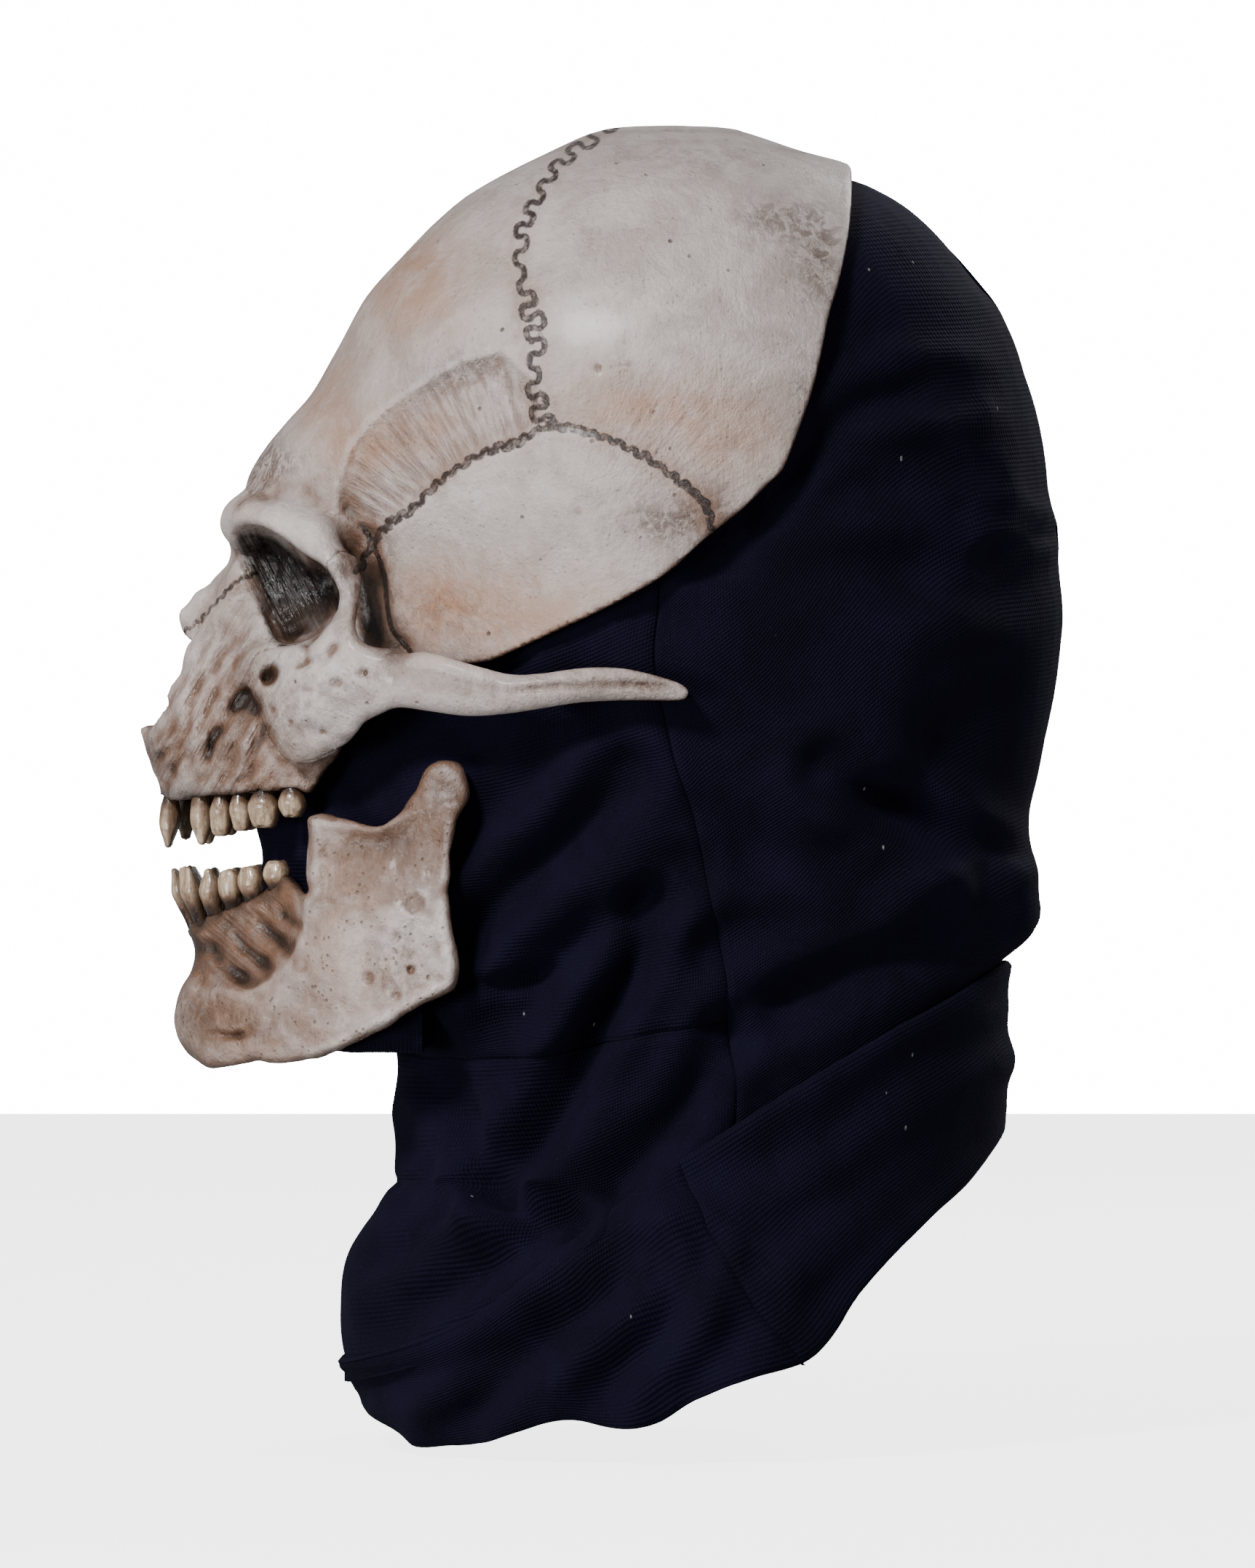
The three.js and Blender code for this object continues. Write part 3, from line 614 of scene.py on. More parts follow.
def tooth_place(arch, tooth):
    """(origin on the gum, directions along the arch, outwards and along the crown)."""
    front, bend, depth = ARCHES[arch]
    slope = math.atan(2 * bend * tooth.x)
    across = np.array([math.cos(slope), math.sin(slope), 0.0])
    out = np.array([math.sin(slope), -math.cos(slope), 0.0])
    way = -1.0 if arch == "upper" else 1.0
    crown = np.array([0, 0, way]) * math.cos(tooth.lean) + out * math.sin(tooth.lean)
    origin = np.array([tooth.x, front + bend * tooth.x**2 + depth, tooth.gum])
    return origin, across, out - crown * out.dot(crown), crown


def tooth_widths(tooth, h):
    """A tooth's width and depth at heights h, as shares: -1 root, 0 gum and 1 edge."""
    wide = curve(h, TOOTH_WIDE)
    taper = {"edge": 0.34, "point": 0.42, "two": 0.7, "four": 0.76}[tooth.kind]
    deep = curve(h, TOOTH_DEEP + [(1, taper)])
    if tooth.kind == "point":
        wide = wide * curve(h, [(-1, 1), (0.5, 1), (1, 0.6)])
    return wide, deep


def tooth_rings(tooth, around):
    """Rings of points from root to edge, with each ring's height and how far each point is aside."""
    a = np.linspace(0, 2 * math.pi, around, endpoint=False)
    h = np.concatenate([np.linspace(-1, 0, 6)[:-1], np.linspace(0, 1, 14) ** 0.9])
    wide, deep = tooth_widths(tooth, h)
    tops = np.sqrt(np.linspace(1, 0, 9)[1:])
    n = 2.2
    c, s = np.cos(a), np.sin(a)
    circle = (np.abs(c) ** n + np.abs(s) ** n) ** (-1 / n)
    forward = 0.35 * (tooth.kind == "edge")
    rings = []
    for w, d, t in zip(wide, deep, h):
        z = t * (tooth.long if t > 0 else ROOT)
        u = circle * c * w * tooth.wide / 2
        v = circle * s * d * tooth.deep / 2 - forward * max(t, 0)
        rings.append(np.stack([u, v, np.full(around, z)], 1))
    for r in tops:
        u = circle * c * wide[-1] * tooth.wide / 2 * r
        v = circle * s * deep[-1] * tooth.deep / 2 * r
        rise = edge_relief(tooth, u, v) * (1 - r**3) + 1.1 * (1 - r**2) ** 0.5
        rings.append(np.stack([u, v - forward, tooth.long + rise], 1))
    along = np.repeat(np.concatenate([h, np.ones(len(tops))]), around)
    return rings, along, np.tile(np.abs(c) ** 3, len(rings))


def tooth_mesh(arch, tooth, seed):
    """Points and faces of a tooth, and its marks: along it, -1 root to 1 edge, and on its flanks."""
    around = 28
    rng = np.random.default_rng(seed)
    rings, along, sides = tooth_rings(tooth, around)
    p = np.concatenate(rings)
    p[:, :2] *= 1 + 0.03 * np.sin(p[:, 2:] * rng.uniform(0.7, 1.3) + rng.uniform(0, 6))
    p[:, 0] += 0.03 * rng.normal() * p[:, 2]
    p = np.vstack([p, p[-around:].mean(0)])
    faces = ring_faces(len(rings), around)
    tip = len(p) - 1
    start = tip - around
    faces += [(start + k, start + (k + 1) % around, tip) for k in range(around)]
    faces.append(tuple(range(around))[::-1])
    origin, across, out, crown = tooth_place(arch, tooth)
    turn = tooth.turn + rng.normal() * 0.05
    side = across * math.cos(turn) + out * math.sin(turn)
    front = out * math.cos(turn) - across * math.sin(turn)
    world = origin + p[:, :1] * side + p[:, 1:2] * -front + p[:, 2:] * crown
    if np.linalg.det(np.array([side, -front, crown])) < 0:
        faces = [f[::-1] for f in faces]
    return world, faces, {"along": np.append(along, 1.0), "flank": np.append(sides, 0.0)}


def edge_relief(tooth, u, v):
    """The height of cusps and grooves on a tooth's end."""
    x = 2 * u / tooth.wide
    y = 2 * v / tooth.deep
    if tooth.kind == "edge":
        return 0.15 * np.cos(3.2 * math.pi * x)
    if tooth.kind == "point":
        return 0.3 * (1 - np.abs(x))
    if tooth.kind == "two":
        return 0.7 * np.cos(math.pi * (np.abs(y) - 0.5)) - 0.3
    return 0.5 * np.cos(2 * math.pi * (np.abs(x) - 0.5)) * np.cos(math.pi * (np.abs(y) - 0.5))


def ring_faces(rings, around):
    """Four-cornered faces between rings of points."""
    faces = []
    for i in range(rings - 1):
        for k in range(around):
            a = i * around + k
            b = i * around + (k + 1) % around
            faces.append((a, b, b + around, a + around))
    return faces


# ---- cloth: lines seen from the side, as (y, z) ------------------------------------------------

HOOD_TOP = 129.5  # height of the hood's top, under the casting
# Curves of the hood by height, as (z, value).
HOOD_FRONT = [(129.5, 14), (124, -14), (112, -38), (96, -56), (80, -68), (60, -78), (40, -84),
              (20, -88), (0, -90), (-20, -91), (-40, -94), (-60, -98), (-76, -98), (-90, -94),
              (-102, -82), (-110, -66), (-117, -62.5), (-128, -62.5), (-140, -61.5),
              (-148, -61), (-154, -66), (-161, -71.5), (-170, -75.5), (-183, -77),
              (-196, -75.5), (-206, -70), (-222, -60)]
HOOD_BACK = [(129.5, 14), (126, 42), (122, 57), (115, 70.5), (109, 79), (102, 87), (93, 94.5),
             (86, 99.5), (75, 104.5), (65, 108), (52, 111), (40, 113), (29, 113.8), (24, 113.2),
             (19, 114), (5, 116), (-5, 115.5), (-20, 113), (-38, 109.5), (-50, 106.5),
             (-60, 105.6), (-68, 107.6), (-75, 109.8), (-80, 108.5), (-85, 102), (-90, 97.5),
             (-104, 97.5), (-120, 98), (-148, 94), (-180, 86), (-222, 60)]
HOOD_HALF = [(129.5, 0), (124, 36), (112, 56), (96, 69), (80, 75.5), (60, 79), (40, 79.5),
             (0, 79), (-20, 77), (-40, 72), (-60, 68), (-75, 66), (-90, 65), (-104, 64),
             (-114, 63.5), (-132, 65), (-148, 68), (-160, 73), (-180, 81), (-198, 84), (-222, 84)]
HOOD_POWER = [(-222, 2), (-90, 2), (-60, 1.9), (-40, 1.68), (-20, 1.58), (0, 1.6), (20, 1.65),
              (40, 1.75), (60, 1.9), (129.5, 2)]
HOOD_WIDEST = [(-222, 18), (96, 18), (129.5, 14)]

TUCK = [(8.3, 28), (28, 47), (33, 58), (38, 75), (43, 96), (45.5, 112), (46.5, 122)]
SIDE_SEAM = [(27, -150), (28, -125), (26, -104), (25, -90), (21, -70), (17, -50), (11, -30),
             (7, -10), (8, 9), (8.3, 28)]
CHEEK_TOP = [(-70, -4), (-50, 3), (-32, 9), (-12, 17), (8.3, 28)]
CHEEK_FRONT = [(-57, -113.6), (-61, -92), (-66, -70), (-82, -57), (-87, -46), (-80, -30), (-70, -4)]
THROAT_SEAM = [(-57, -113.6), (-35, -113.6), (-15, -112), (0, -108), (10, -106), (26, -104)]
COWL_FOLD = [(98, -88), (85, -97), (70, -105), (60, -111), (45, -120), (30, -130), (18, -138),
             (10, -143), (0, -152), (-10, -160), (-20, -168), (-35, -180), (-50, -187),
             (-65, -192), (-77, -196)]
COWL_HEM = [(100, -131), (94, -138.5), (86, -148), (77, -156.5), (68, -165), (58, -175.5),
            (50, -186), (43, -192), (30, -196), (17, -201.5), (7, -207.5), (-4, -208.5),
            (-16, -206.5), (-28, -210), (-40, -214), (-52, -214), (-64, -209.5), (-73, -205),
            (-80, -204)]
COWL_SEAM_TOP = np.array([13, -141])
COWL_SEAM_END = np.array([43, -192.5])
BACK_OVERLAP = 0.3  # how far each back panel reaches over the middle

# Creases in the cloth: a line, its half width and its depth.
CREASES = [
    ([(40, 42), (52, 51), (66, 58), (82, 61)], 5, 4.4),
    ([(34, 33), (48, 42), (66, 46), (88, 45)], 5, 3.8),
    ([(20, 20), (40, 30), (62, 36), (84, 34)], 6, 5.0),
    ([(12, 8), (34, 16), (60, 18), (92, 12)], 8, 2.6),
    ([(94, 30), (101, 27.5), (108, 26)], 2.6, 1.4),
    ([(93, 18), (100, 21), (107, 24)], 2.8, 1.4),
    ([(100, 10), (98, -14), (95, -36), (90, -56)], 8, 2.4),
    ([(86, -14), (78, -40), (60, -62)], 8, 4.0),
    ([(52, -38), (68, -47), (80, -54), (90, -61)], 5.5, 5.0),
    ([(30, -104), (44, -96), (60, -88), (78, -80), (90, -76)], 6.5, 6.2),
    ([(24, -84), (40, -80), (58, -76), (74, -66)], 6, 3.0),
    ([(16, -56), (36, -60), (54, -72)], 8, 2.6),
    ([(-48, -88), (-34, -72), (-18, -58), (0, -40)], 5.5, 6.0),
    ([(-30, -100), (-16, -86), (0, -74), (14, -66)], 5.5, 4.6),
    ([(-52, -60), (-38, -52), (-22, -36), (-12, -20)], 6, 3.0),
    ([(-60, -24), (-42, -30), (-30, -40)], 6, 2.8),
    ([(-10, -12), (-4, -28), (4, -44)], 6, 2.2),
    ([(-50, -93.6), (-36, -94), (-20, -92)], 2.4, 2.2),
    ([(-54, -84), (-42, -90), (-30, -96)], 8, 2.6),
    ([(6, -74), (2, -88), (-7, -104), (-16, -122), (-26, -138), (-34, -149)], 5, 6.6),
    ([(-46, -122), (-41, -134), (-35, -148), (-26, -155), (-15, -157)], 4.6, 5.6),
    ([(24, -108), (16, -124), (2, -140), (-12, -154)], 5, 5.0),
    ([(-54, -134), (-49, -144), (-44, -152)], 4, 2.6),
    ([(-55, -152), (-48, -154), (-38, -152)], 4, 3.0),
    ([(-62, -183), (-52, -176), (-38, -168), (-16, -158)], 4.5, 4.4),
    ([(-66, -172), (-58, -165), (-48, -160)], 4, 2.6),
]
COWL_CREASES = [
    ([(-42, -215), (-38, -202), (-20, -187), (4, -168)], 5, 5.0),
    ([(-72, -201), (-54, -197), (-30, -188), (-14, -176)], 4, 2.6),
    ([(22, -146), (46, -136), (70, -118), (92, -104)], 7, 2.8),
    ([(26, -166), (52, -152), (76, -134), (96, -116)], 7, 3.0),
    ([(34, -186), (56, -168), (80, -146), (98, -126)], 6, 2.4),
    ([(10, -204), (22, -190), (32, -174)], 5, 2.6),
    ([(-8, -206), (-4, -196), (8, -184), (16, -166)], 5, 3.6),
]


def hood_section(z):
    """(front, back, half width, widest place, power) of the hood at heights z."""
    depth = np.sqrt(np.maximum(HOOD_TOP - z, 0))
    values = [curve(depth, by_depth(k, HOOD_TOP)) for k in (HOOD_FRONT, HOOD_BACK, HOOD_HALF)]
    return (*values, curve(z, HOOD_WIDEST), curve(z, HOOD_POWER))


def hood_point(a, z):
    """Points of the hood at angles a, from 0 at the front to pi at the back, left side positive."""
    front, back, half, widest, power = hood_section(z)
    ahead = np.cos(a) > 0
    p = np.where(ahead, 2 / power, 1.0)
    reach = np.where(ahead, widest - front, back - widest)
    y = widest - np.sign(np.cos(a)) * reach * np.abs(np.cos(a)) ** p
    x = half * np.sign(np.sin(a)) * np.abs(np.sin(a)) ** p
    return np.stack([x, y, z], -1)


def hood_angle(line):
    """(y, z) points of the left side turned into (angle, z)."""
    y, z = np.asarray(line, float).T
    front, back, _, widest, power = hood_section(z)
    reach = np.where(y < widest, widest - front, back - widest)
    n = np.where(y < widest, power, 2.0)
    c = np.clip((widest - y) / reach, -1, 1)
    return np.stack([np.arccos(np.sign(c) * np.abs(c) ** (n / 2)), z], 1)


def even(line, count):
    """A line's points, spaced evenly along it."""
    p = np.asarray(line, float)
    step = np.r_[0, np.cumsum(np.hypot(*np.diff(p, axis=0).T))]
    at = np.linspace(0, step[-1], count)
    return np.stack([np.interp(at, step, p[:, i]) for i in range(p.shape[1])], 1)


def patch(left, right, bottom, top, rows, columns):
    """A grid of (angle, z) between four lines that share their corners."""
    l, r = (hood_angle(even(smooth_line(e, 4), rows)) if np.ndim(e) else e for e in (left, right))
    b, t = (hood_angle(even(smooth_line(e, 4), columns)) for e in (bottom, top))
    return coons(l, r, b, t)


def coons(l, r, b, t):
    """The smooth grid between a left, right, bottom and top line."""
    u = np.linspace(0, 1, len(b))[None, :, None]
    v = np.linspace(0, 1, len(l))[:, None, None]
    edges = (1 - u) * l[:, None] + u * r[:, None] + (1 - v) * b[None] + v * t[None]
    corners = (1 - u) * (1 - v) * b[0] + u * (1 - v) * b[-1] + (1 - u) * v * t[0] + u * v * t[-1]
    return edges - corners


def soft_waves(y, z, seed):
    """The slow unevenness of worn cloth, in mm."""
    rng = np.random.default_rng(seed)
    out = np.zeros(np.shape(y))
    for _ in range(7):
        way = rng.uniform(0, math.pi)
        length = rng.uniform(28, 75)
        phase = rng.uniform(0, 6.3)
        s = (y * math.cos(way) + z * math.sin(way)) * 2 * math.pi / length
        out += np.sin(s + phase + 0.6 * np.sin(s * 0.43 + phase)) * length * 0.0042
    return out


def crease_height(y, z, creases, strength=1.0):
    """Valleys along the creases, with a ridge on each side, in mm."""
    out = np.zeros(np.shape(y))
    for line, width, depth in creases:
        p = smooth_line(line, 5)
        d = line_distance(y, z, p)
        ends = np.minimum(np.hypot(y - p[0, 0], z - p[0, 1]), np.hypot(y - p[-1, 0], z - p[-1, 1]))
        fade = np.clip(ends / (2.2 * width), 0.15, 1) ** 0.7
        valley = np.exp(-((d / width) ** 2))
        ridge = np.exp(-(((d - 1.9 * width) / (1.1 * width)) ** 2))
        out += strength * depth * fade * (0.55 * ridge - valley)
    return out


def normals(p):
    """The direction square to a grid at each of its points."""
    n = np.cross(np.gradient(p, axis=1), np.gradient(p, axis=0))
    return n / np.maximum(np.linalg.norm(n, axis=-1, keepdims=True), 1e-9)


def edge_fall(p, width=1.7, depth=0.9):
    """The dip of a panel into its seams, from the distance to the grid's own edges."""
    rows, columns = p.shape[:2]
    across = np.linalg.norm(np.diff(p, axis=1), axis=-1).sum(1)[:, None]
    up = np.linalg.norm(np.diff(p, axis=0), axis=-1).sum(0)[None]
    u = np.linspace(0, 1, columns)[None]
    v = np.linspace(0, 1, rows)[:, None]
    near = np.minimum(np.minimum(u, 1 - u) * across, np.minimum(v, 1 - v) * up)
    return -depth * np.exp(-((near / width) ** 2))


def cloth_points(grid, seed, creases, lift=0.0, strength=1.0):
    """The surface over a grid of (angle, z), with its creases, waves and seams."""
    a, z = grid[..., 0], grid[..., 1]
    p = hood_point(a, z)
    n = normals(p)
    outward = np.sign(np.sum(n * (p - (0, 18, 0)) * (1, 1, 0), -1, keepdims=True))
    out = crease_height(p[..., 1], p[..., 2], creases, strength)
    out += soft_waves(p[..., 1], p[..., 2] + 0.4 * p[..., 0], seed)
    out += edge_fall(p) + lift
    return p + n * outward * out[..., None]


def grid_faces(rows, columns):
    """Four-cornered faces of a grid of points."""
    i, k = np.meshgrid(np.arange(rows - 1), np.arange(columns - 1), indexing="ij")
    a = (i * columns + k).ravel()
    return np.stack([a, a + 1, a + columns + 1, a + columns], 1)


def centre(front, low, high, rows):
    """The centre line, in front or behind, as (angle, z)."""
    z = np.linspace(low, high, rows)
    return np.stack([np.full(rows, 0.0 if front else math.pi), z], 1)


def back_panel():
    """The left back panel, from the side seam to the middle of the back."""
    rows, columns = 190, 100
    left = hood_angle(even(smooth_line([(27, -144)] + SIDE_SEAM[1:], 4), rows))
    right = centre(False, -99, 125.5, rows)
    bottom = hood_angle(even(smooth_line([(27, -144), (45, -131), (70, -115), (97, -99)], 4), columns))
    top = hood_angle(even(smooth_line(TUCK, 4), columns))
    bottom[-1] = right[0]
    top[-1] = right[-1]
    top[-6:, 0] = np.linspace(top[-6, 0], math.pi, 6)
    return coons(left, right, bottom, top)


def cheek_panel():
    """The left cheek panel, ahead of the side seam."""
    rows, columns = 90, 80
    seam = [p for p in SIDE_SEAM if p[1] > -105]
    return patch(CHEEK_FRONT, seam, THROAT_SEAM, CHEEK_TOP, rows, columns)


def throat_half():
    """The left half of the throat panel, which runs down behind the cowl."""
    rows, columns = 80, 90
    left = centre(True, -207, -113.4, rows)
    right = hood_angle(even(smooth_line([(27, -144), (28, -125), (26, -104)], 4), rows))
    under = [(-74, -207), (-50, -198), (-35, -191), (-20, -180), (0, -164), (10, -155), (27, -144)]
    bottom = hood_angle(even(smooth_line(under, 4), columns))
    top = hood_angle(even(smooth_line([(-63, -113.4)] + THROAT_SEAM, 4), columns))
    bottom[0] = left[0]
    top[0] = left[-1]
    return coons(left, right, bottom, top)


def cut_line(line, y, low):
    """The part of a line, given from back to front, on one side of y."""
    p = smooth_line(line, 6)
    return p[p[:, 0] >= y] if low else p[p[:, 0] <= y]


def cowl_half(front):
    """The left half of the cowl, ahead of its side seam or behind it."""
    rows, columns = 46, 110
    overlap = (0.7, 0)
    fold = cut_line(COWL_FOLD, COWL_SEAM_TOP[0], not front)
    hem = cut_line(COWL_HEM, COWL_SEAM_END[0], not front)
    seam = even([COWL_SEAM_TOP, (20, -160), (31, -178), COWL_SEAM_END], rows)[::-1]
    if front:
        fold, hem = fold[::-1], hem[::-1]
        fold = np.concatenate([fold, [COWL_SEAM_TOP + overlap]])
        hem = np.concatenate([hem, [COWL_SEAM_END + overlap]])
        left = centre(True, -204, -196, rows)
        right = hood_angle(seam + overlap)
    else:
        fold = np.concatenate([fold, [COWL_SEAM_TOP]])[::-1]
        hem = np.concatenate([hem, [COWL_SEAM_END]])[::-1]
        left = hood_angle(seam)
        right = centre(False, -131, -88, rows)
    bottom = hood_angle(even(hem, columns))
    top = hood_angle(even(fold, columns))
    end = 0 if front else -1
    bottom[end] = (left if front else right)[0]
    top[end] = (left if front else right)[-1]
    return coons(left, right, bottom, top)


# ---- cloth inside the jaw ----------------------------------------------------------------------

# The chin cup's wall and the lips' cloth from above, as (x, y).
CUP_PLAN = [(0, -114.5), (9, -113.6), (17, -110.5), (25, -104.5), (33, -96), (40, -86),
            (47, -76), (52, -67), (57, -55)]
MOUTH_PLAN = [(0, -100.5), (8, -100), (15, -97), (21, -91), (26, -84), (31, -74)]
CUP_FLOOR = -112


def both_ends(line):
    """A line from above, with its mirrored half before it."""
    p = smooth_line(line, 8)
    return np.concatenate([p[:0:-1] * (-1, 1), p])


def trough_grid(front, back, rows=70, columns=120):
    """A sheet across the jaw's floor that turns up at its sides, from y = front to y = back."""
    plan = smooth_line(CUP_PLAN, 8)
    y = np.linspace(front, back, rows)
    half = np.interp(y, plan[:, 1], plan[:, 0])
    reach = half + 12
    s = np.linspace(-1, 1, columns)[None] * reach[:, None]
    over = np.abs(s) - (half[:, None] - 5)
    turn = np.clip(over / 8, 0, 1)
    x = np.where(over < 0, s, np.sign(s) * (half[:, None] - 5 + 5 * np.sin(turn * math.pi / 2)))
    z = CUP_FLOOR + 5 * (1 - np.cos(turn * math.pi / 2)) + np.maximum(over - 8, 0)
    p = np.stack([x, np.broadcast_to(y[:, None], x.shape), z], -1)
    p[..., 2] += 0.5 * np.sin(p[..., 0] / 4.2 + np.sin(p[..., 1] / 6))
    return p


def mouth_grid(rows=50, columns=150):
    """The lips' cloth: a band across the front, slack between the two rows of teeth."""
    plan = even(both_ends(MOUTH_PLAN), columns)
    z = np.linspace(-85, -43.8, rows)
    slack = 2.2 * np.sin(np.clip((z + 85) / 41, 0, 1) * math.pi)
    folds = 0.7 * np.sin(z / 2.6)[:, None] * np.cos(plan[:, 0] / 7)[None]
    out = slack[:, None] * np.cos(plan[:, 0] / 16)[None] + folds
    x = np.broadcast_to(plan[:, 0][None], out.shape)
    y = plan[:, 1][None] + out
    return np.stack([x, y, np.broadcast_to(z[:, None], out.shape)], -1)


# ---- materials ---------------------------------------------------------------------------------


def tone(r, g, b):
    """A colour from its display values, 0 to 255, turned linear."""
    out = []
    for c in (r, g, b):
        c = c / 255
        out.append(c / 12.92 if c <= 0.04045 else ((c + 0.055) / 1.055) ** 2.4)
    return (*out, 1.0)


class Paint:
    """Builds a material's nodes. Places are in mm in the row frame."""

    def __init__(self, name):
        self.material = bpy.data.materials.new(name)
        self.material.use_nodes = True
        self.tree = self.material.node_tree
        self.shader = self.tree.nodes["Principled BSDF"]
        self.place = self.scaled(self.node("ShaderNodeTexCoord").outputs["Object"], 1000)

    def node(self, kind, **values):
        n = self.tree.nodes.new(kind)
        for key, value in values.items():
            setattr(n, key, value)
        return n

    def feed(self, socket, value):
        if isinstance(value, bpy.types.NodeSocket):
            self.tree.links.new(value, socket)
        else:
            socket.default_value = value

    def scaled(self, vector, scale):
        n = self.node("ShaderNodeVectorMath", operation="MULTIPLY")
        self.feed(n.inputs[0], vector)
        n.inputs[1].default_value = scale if np.ndim(scale) else (scale,) * 3
        return n.outputs[0]

    def mark(self, name):
        return self.node("ShaderNodeAttribute", attribute_name=name).outputs["Fac"]

    def noise(self, size, detail=4.0, rough=0.55, warp=0.0, stretch=(1, 1, 1)):
        """Noise from 0 to 1 whose lumps are about size mm across."""
        n = self.node("ShaderNodeTexNoise")
        n.inputs["Scale"].default_value = 1.0 / size
        n.inputs["Detail"].default_value = detail
        n.inputs["Roughness"].default_value = rough
        n.inputs["Distortion"].default_value = warp
        self.feed(n.inputs["Vector"], self.scaled(self.place, stretch))
        return n.outputs["Fac"]

    def strands(self, width, length):
        """Noise drawn out along the strands that the marks across and length describe."""
        place = self.node("ShaderNodeCombineXYZ")
        self.feed(place.inputs[0], self.sum("MULTIPLY", self.mark("across"), 1.0 / width))
        self.feed(place.inputs[1], self.sum("MULTIPLY", self.mark("length"), 1.0 / length))
        n = self.node("ShaderNodeTexNoise")
        n.inputs["Scale"].default_value = 1.0
        n.inputs["Detail"].default_value = 4.0
        n.inputs["Distortion"].default_value = 0.3
        self.feed(n.inputs["Vector"], place.outputs[0])
        return n.outputs["Fac"]

    def cells(self, size, stretch=(1, 1, 1)):
        """The distance to the nearest of scattered points, in sizes."""
        n = self.node("ShaderNodeTexVoronoi")
        n.inputs["Scale"].default_value = 1.0 / size
        self.feed(n.inputs["Vector"], self.scaled(self.place, stretch))
        return n.outputs["Distance"]

    def sum(self, operation, a, b=0.0, c=0.0):
        n = self.node("ShaderNodeMath", operation=operation)
        for socket, value in zip(n.inputs, (a, b, c)):
            self.feed(socket, value)
        return n.outputs[0]

    def between(self, value, low, high, to_low=0.0, to_high=1.0):
        """A value eased from one range to another."""
        n = self.node("ShaderNodeMapRange", interpolation_type="SMOOTHSTEP")
        for socket, v in zip(n.inputs, (value, low, high, to_low, to_high)):
            self.feed(socket, v)
        return n.outputs[0]

    def mix(self, share, a, b):
        n = self.node("ShaderNodeMix", data_type="RGBA", blend_type="MIX")
        self.feed(n.inputs[0], share)
        self.feed(n.inputs[6], a)
        self.feed(n.inputs[7], b)
        return n.outputs[2]

    def bump(self, height, depth, below=None):
        """Raises the surface by height times depth mm."""
        n = self.node("ShaderNodeBump")
        n.inputs["Distance"].default_value = depth * MM
        self.feed(n.inputs["Height"], height)
        if below is not None:
            self.feed(n.inputs["Normal"], below)
        return n.outputs[0]

    def finish(self, **sockets):
        """Feeds the shader's sockets, named in small letters with lines for spaces."""
        for key, value in sockets.items():
            self.feed(self.shader.inputs[key.replace("_", " ").title().replace("Ior", "IOR")], value)
        return self.material


def bone_washes(p, base):
    """Washes laid where the marks say: warm stain, brown and dark smudges, some of them painted shade."""
    spread = p.between(p.noise(10, 5, 0.62, 0.9), 0.25, 0.6, 0.2, 1)
    base = p.mix(p.sum("MULTIPLY", p.mark("warm"), spread), base, tone(160, 118, 90))
    # Brown paint, partly painted shade in the temple valley, the grooves and some patches.
    soak = p.between(p.noise(5, 6, 0.66, 0.6), 0.28, 0.6, 0.25, 1)
    base = p.mix(p.sum("MULTIPLY", p.mark("brown"), soak), base, tone(104, 76, 58))
    # Dark smudges, partly painted shade where the dark patches stand for shade.
    smudge_and_shade = p.between(p.noise(3.2, 7, 0.72, 0.8), 0.4, 0.58)
    smudge_and_shade = p.sum("MULTIPLY", p.mark("dark"), smudge_and_shade)
    return p.mix(p.sum("MULTIPLY", smudge_and_shade, 0.85), base, tone(92, 74, 66))


def bone_hollows(p, base, wash_and_shade, stir):
    """Brown wash and painted shade in the hollows, almost black painted shade in crevices, and pale on the
    crests: worn paint and painted highlight.
    """
    # Brown wash, then painted shade almost black at the bottom of the crevices.
    base = p.mix(p.between(wash_and_shade, 0.06, 0.8, 0, 0.85), base, tone(112, 82, 64))
    base = p.mix(p.between(wash_and_shade, 0.55, 1.35, 0, 0.9), base, tone(44, 32, 28))
    # Paler on the crests: partly worn paint, partly painted highlight.
    worn = p.between(p.sum("MULTIPLY_ADD", stir, 0.4, p.mark("hollow")), -0.04, -0.34, 0, 0.5)
    worn = p.sum("MULTIPLY", worn, p.between(p.mark("brown"), 0, 1, 1, 0.3))
    return p.mix(worn, base, tone(206, 196, 190))


def bone_seams(p, base, line, wander, blotch, speck):
    """Sutures drawn in black-brown, with a stain on both sides."""
    stain = p.between(wander, 0.6, 4.5, 0.45, 0)
    stained = p.sum("MULTIPLY", stain, p.between(blotch, 0.4, 0.6, 0.3, 1))
    base = p.mix(stained, base, tone(140, 108, 90))
    drawn = p.sum("MULTIPLY", line, p.between(speck, 0.35, 0.55, 0.55, 1))
    return p.mix(drawn, base, tone(48, 36, 32))


def bone_holes(p):
    """Scattered pits, and fine pores where the mark asks for them, from 0 to 1."""
    pit = p.between(p.cells(6.5), 0.03, 0.12, 1, 0)
    pit = p.sum("MULTIPLY", pit, p.between(p.noise(20, 2), 0.5, 0.6))
    pore = p.between(p.cells(1.9), 0.1, 0.3, 1, 0)
    pore = p.sum("MULTIPLY", pore, p.between(p.noise(7, 4), 0.46, 0.6))
    return pit, p.sum("MULTIPLY", pore, p.mark("pores"))


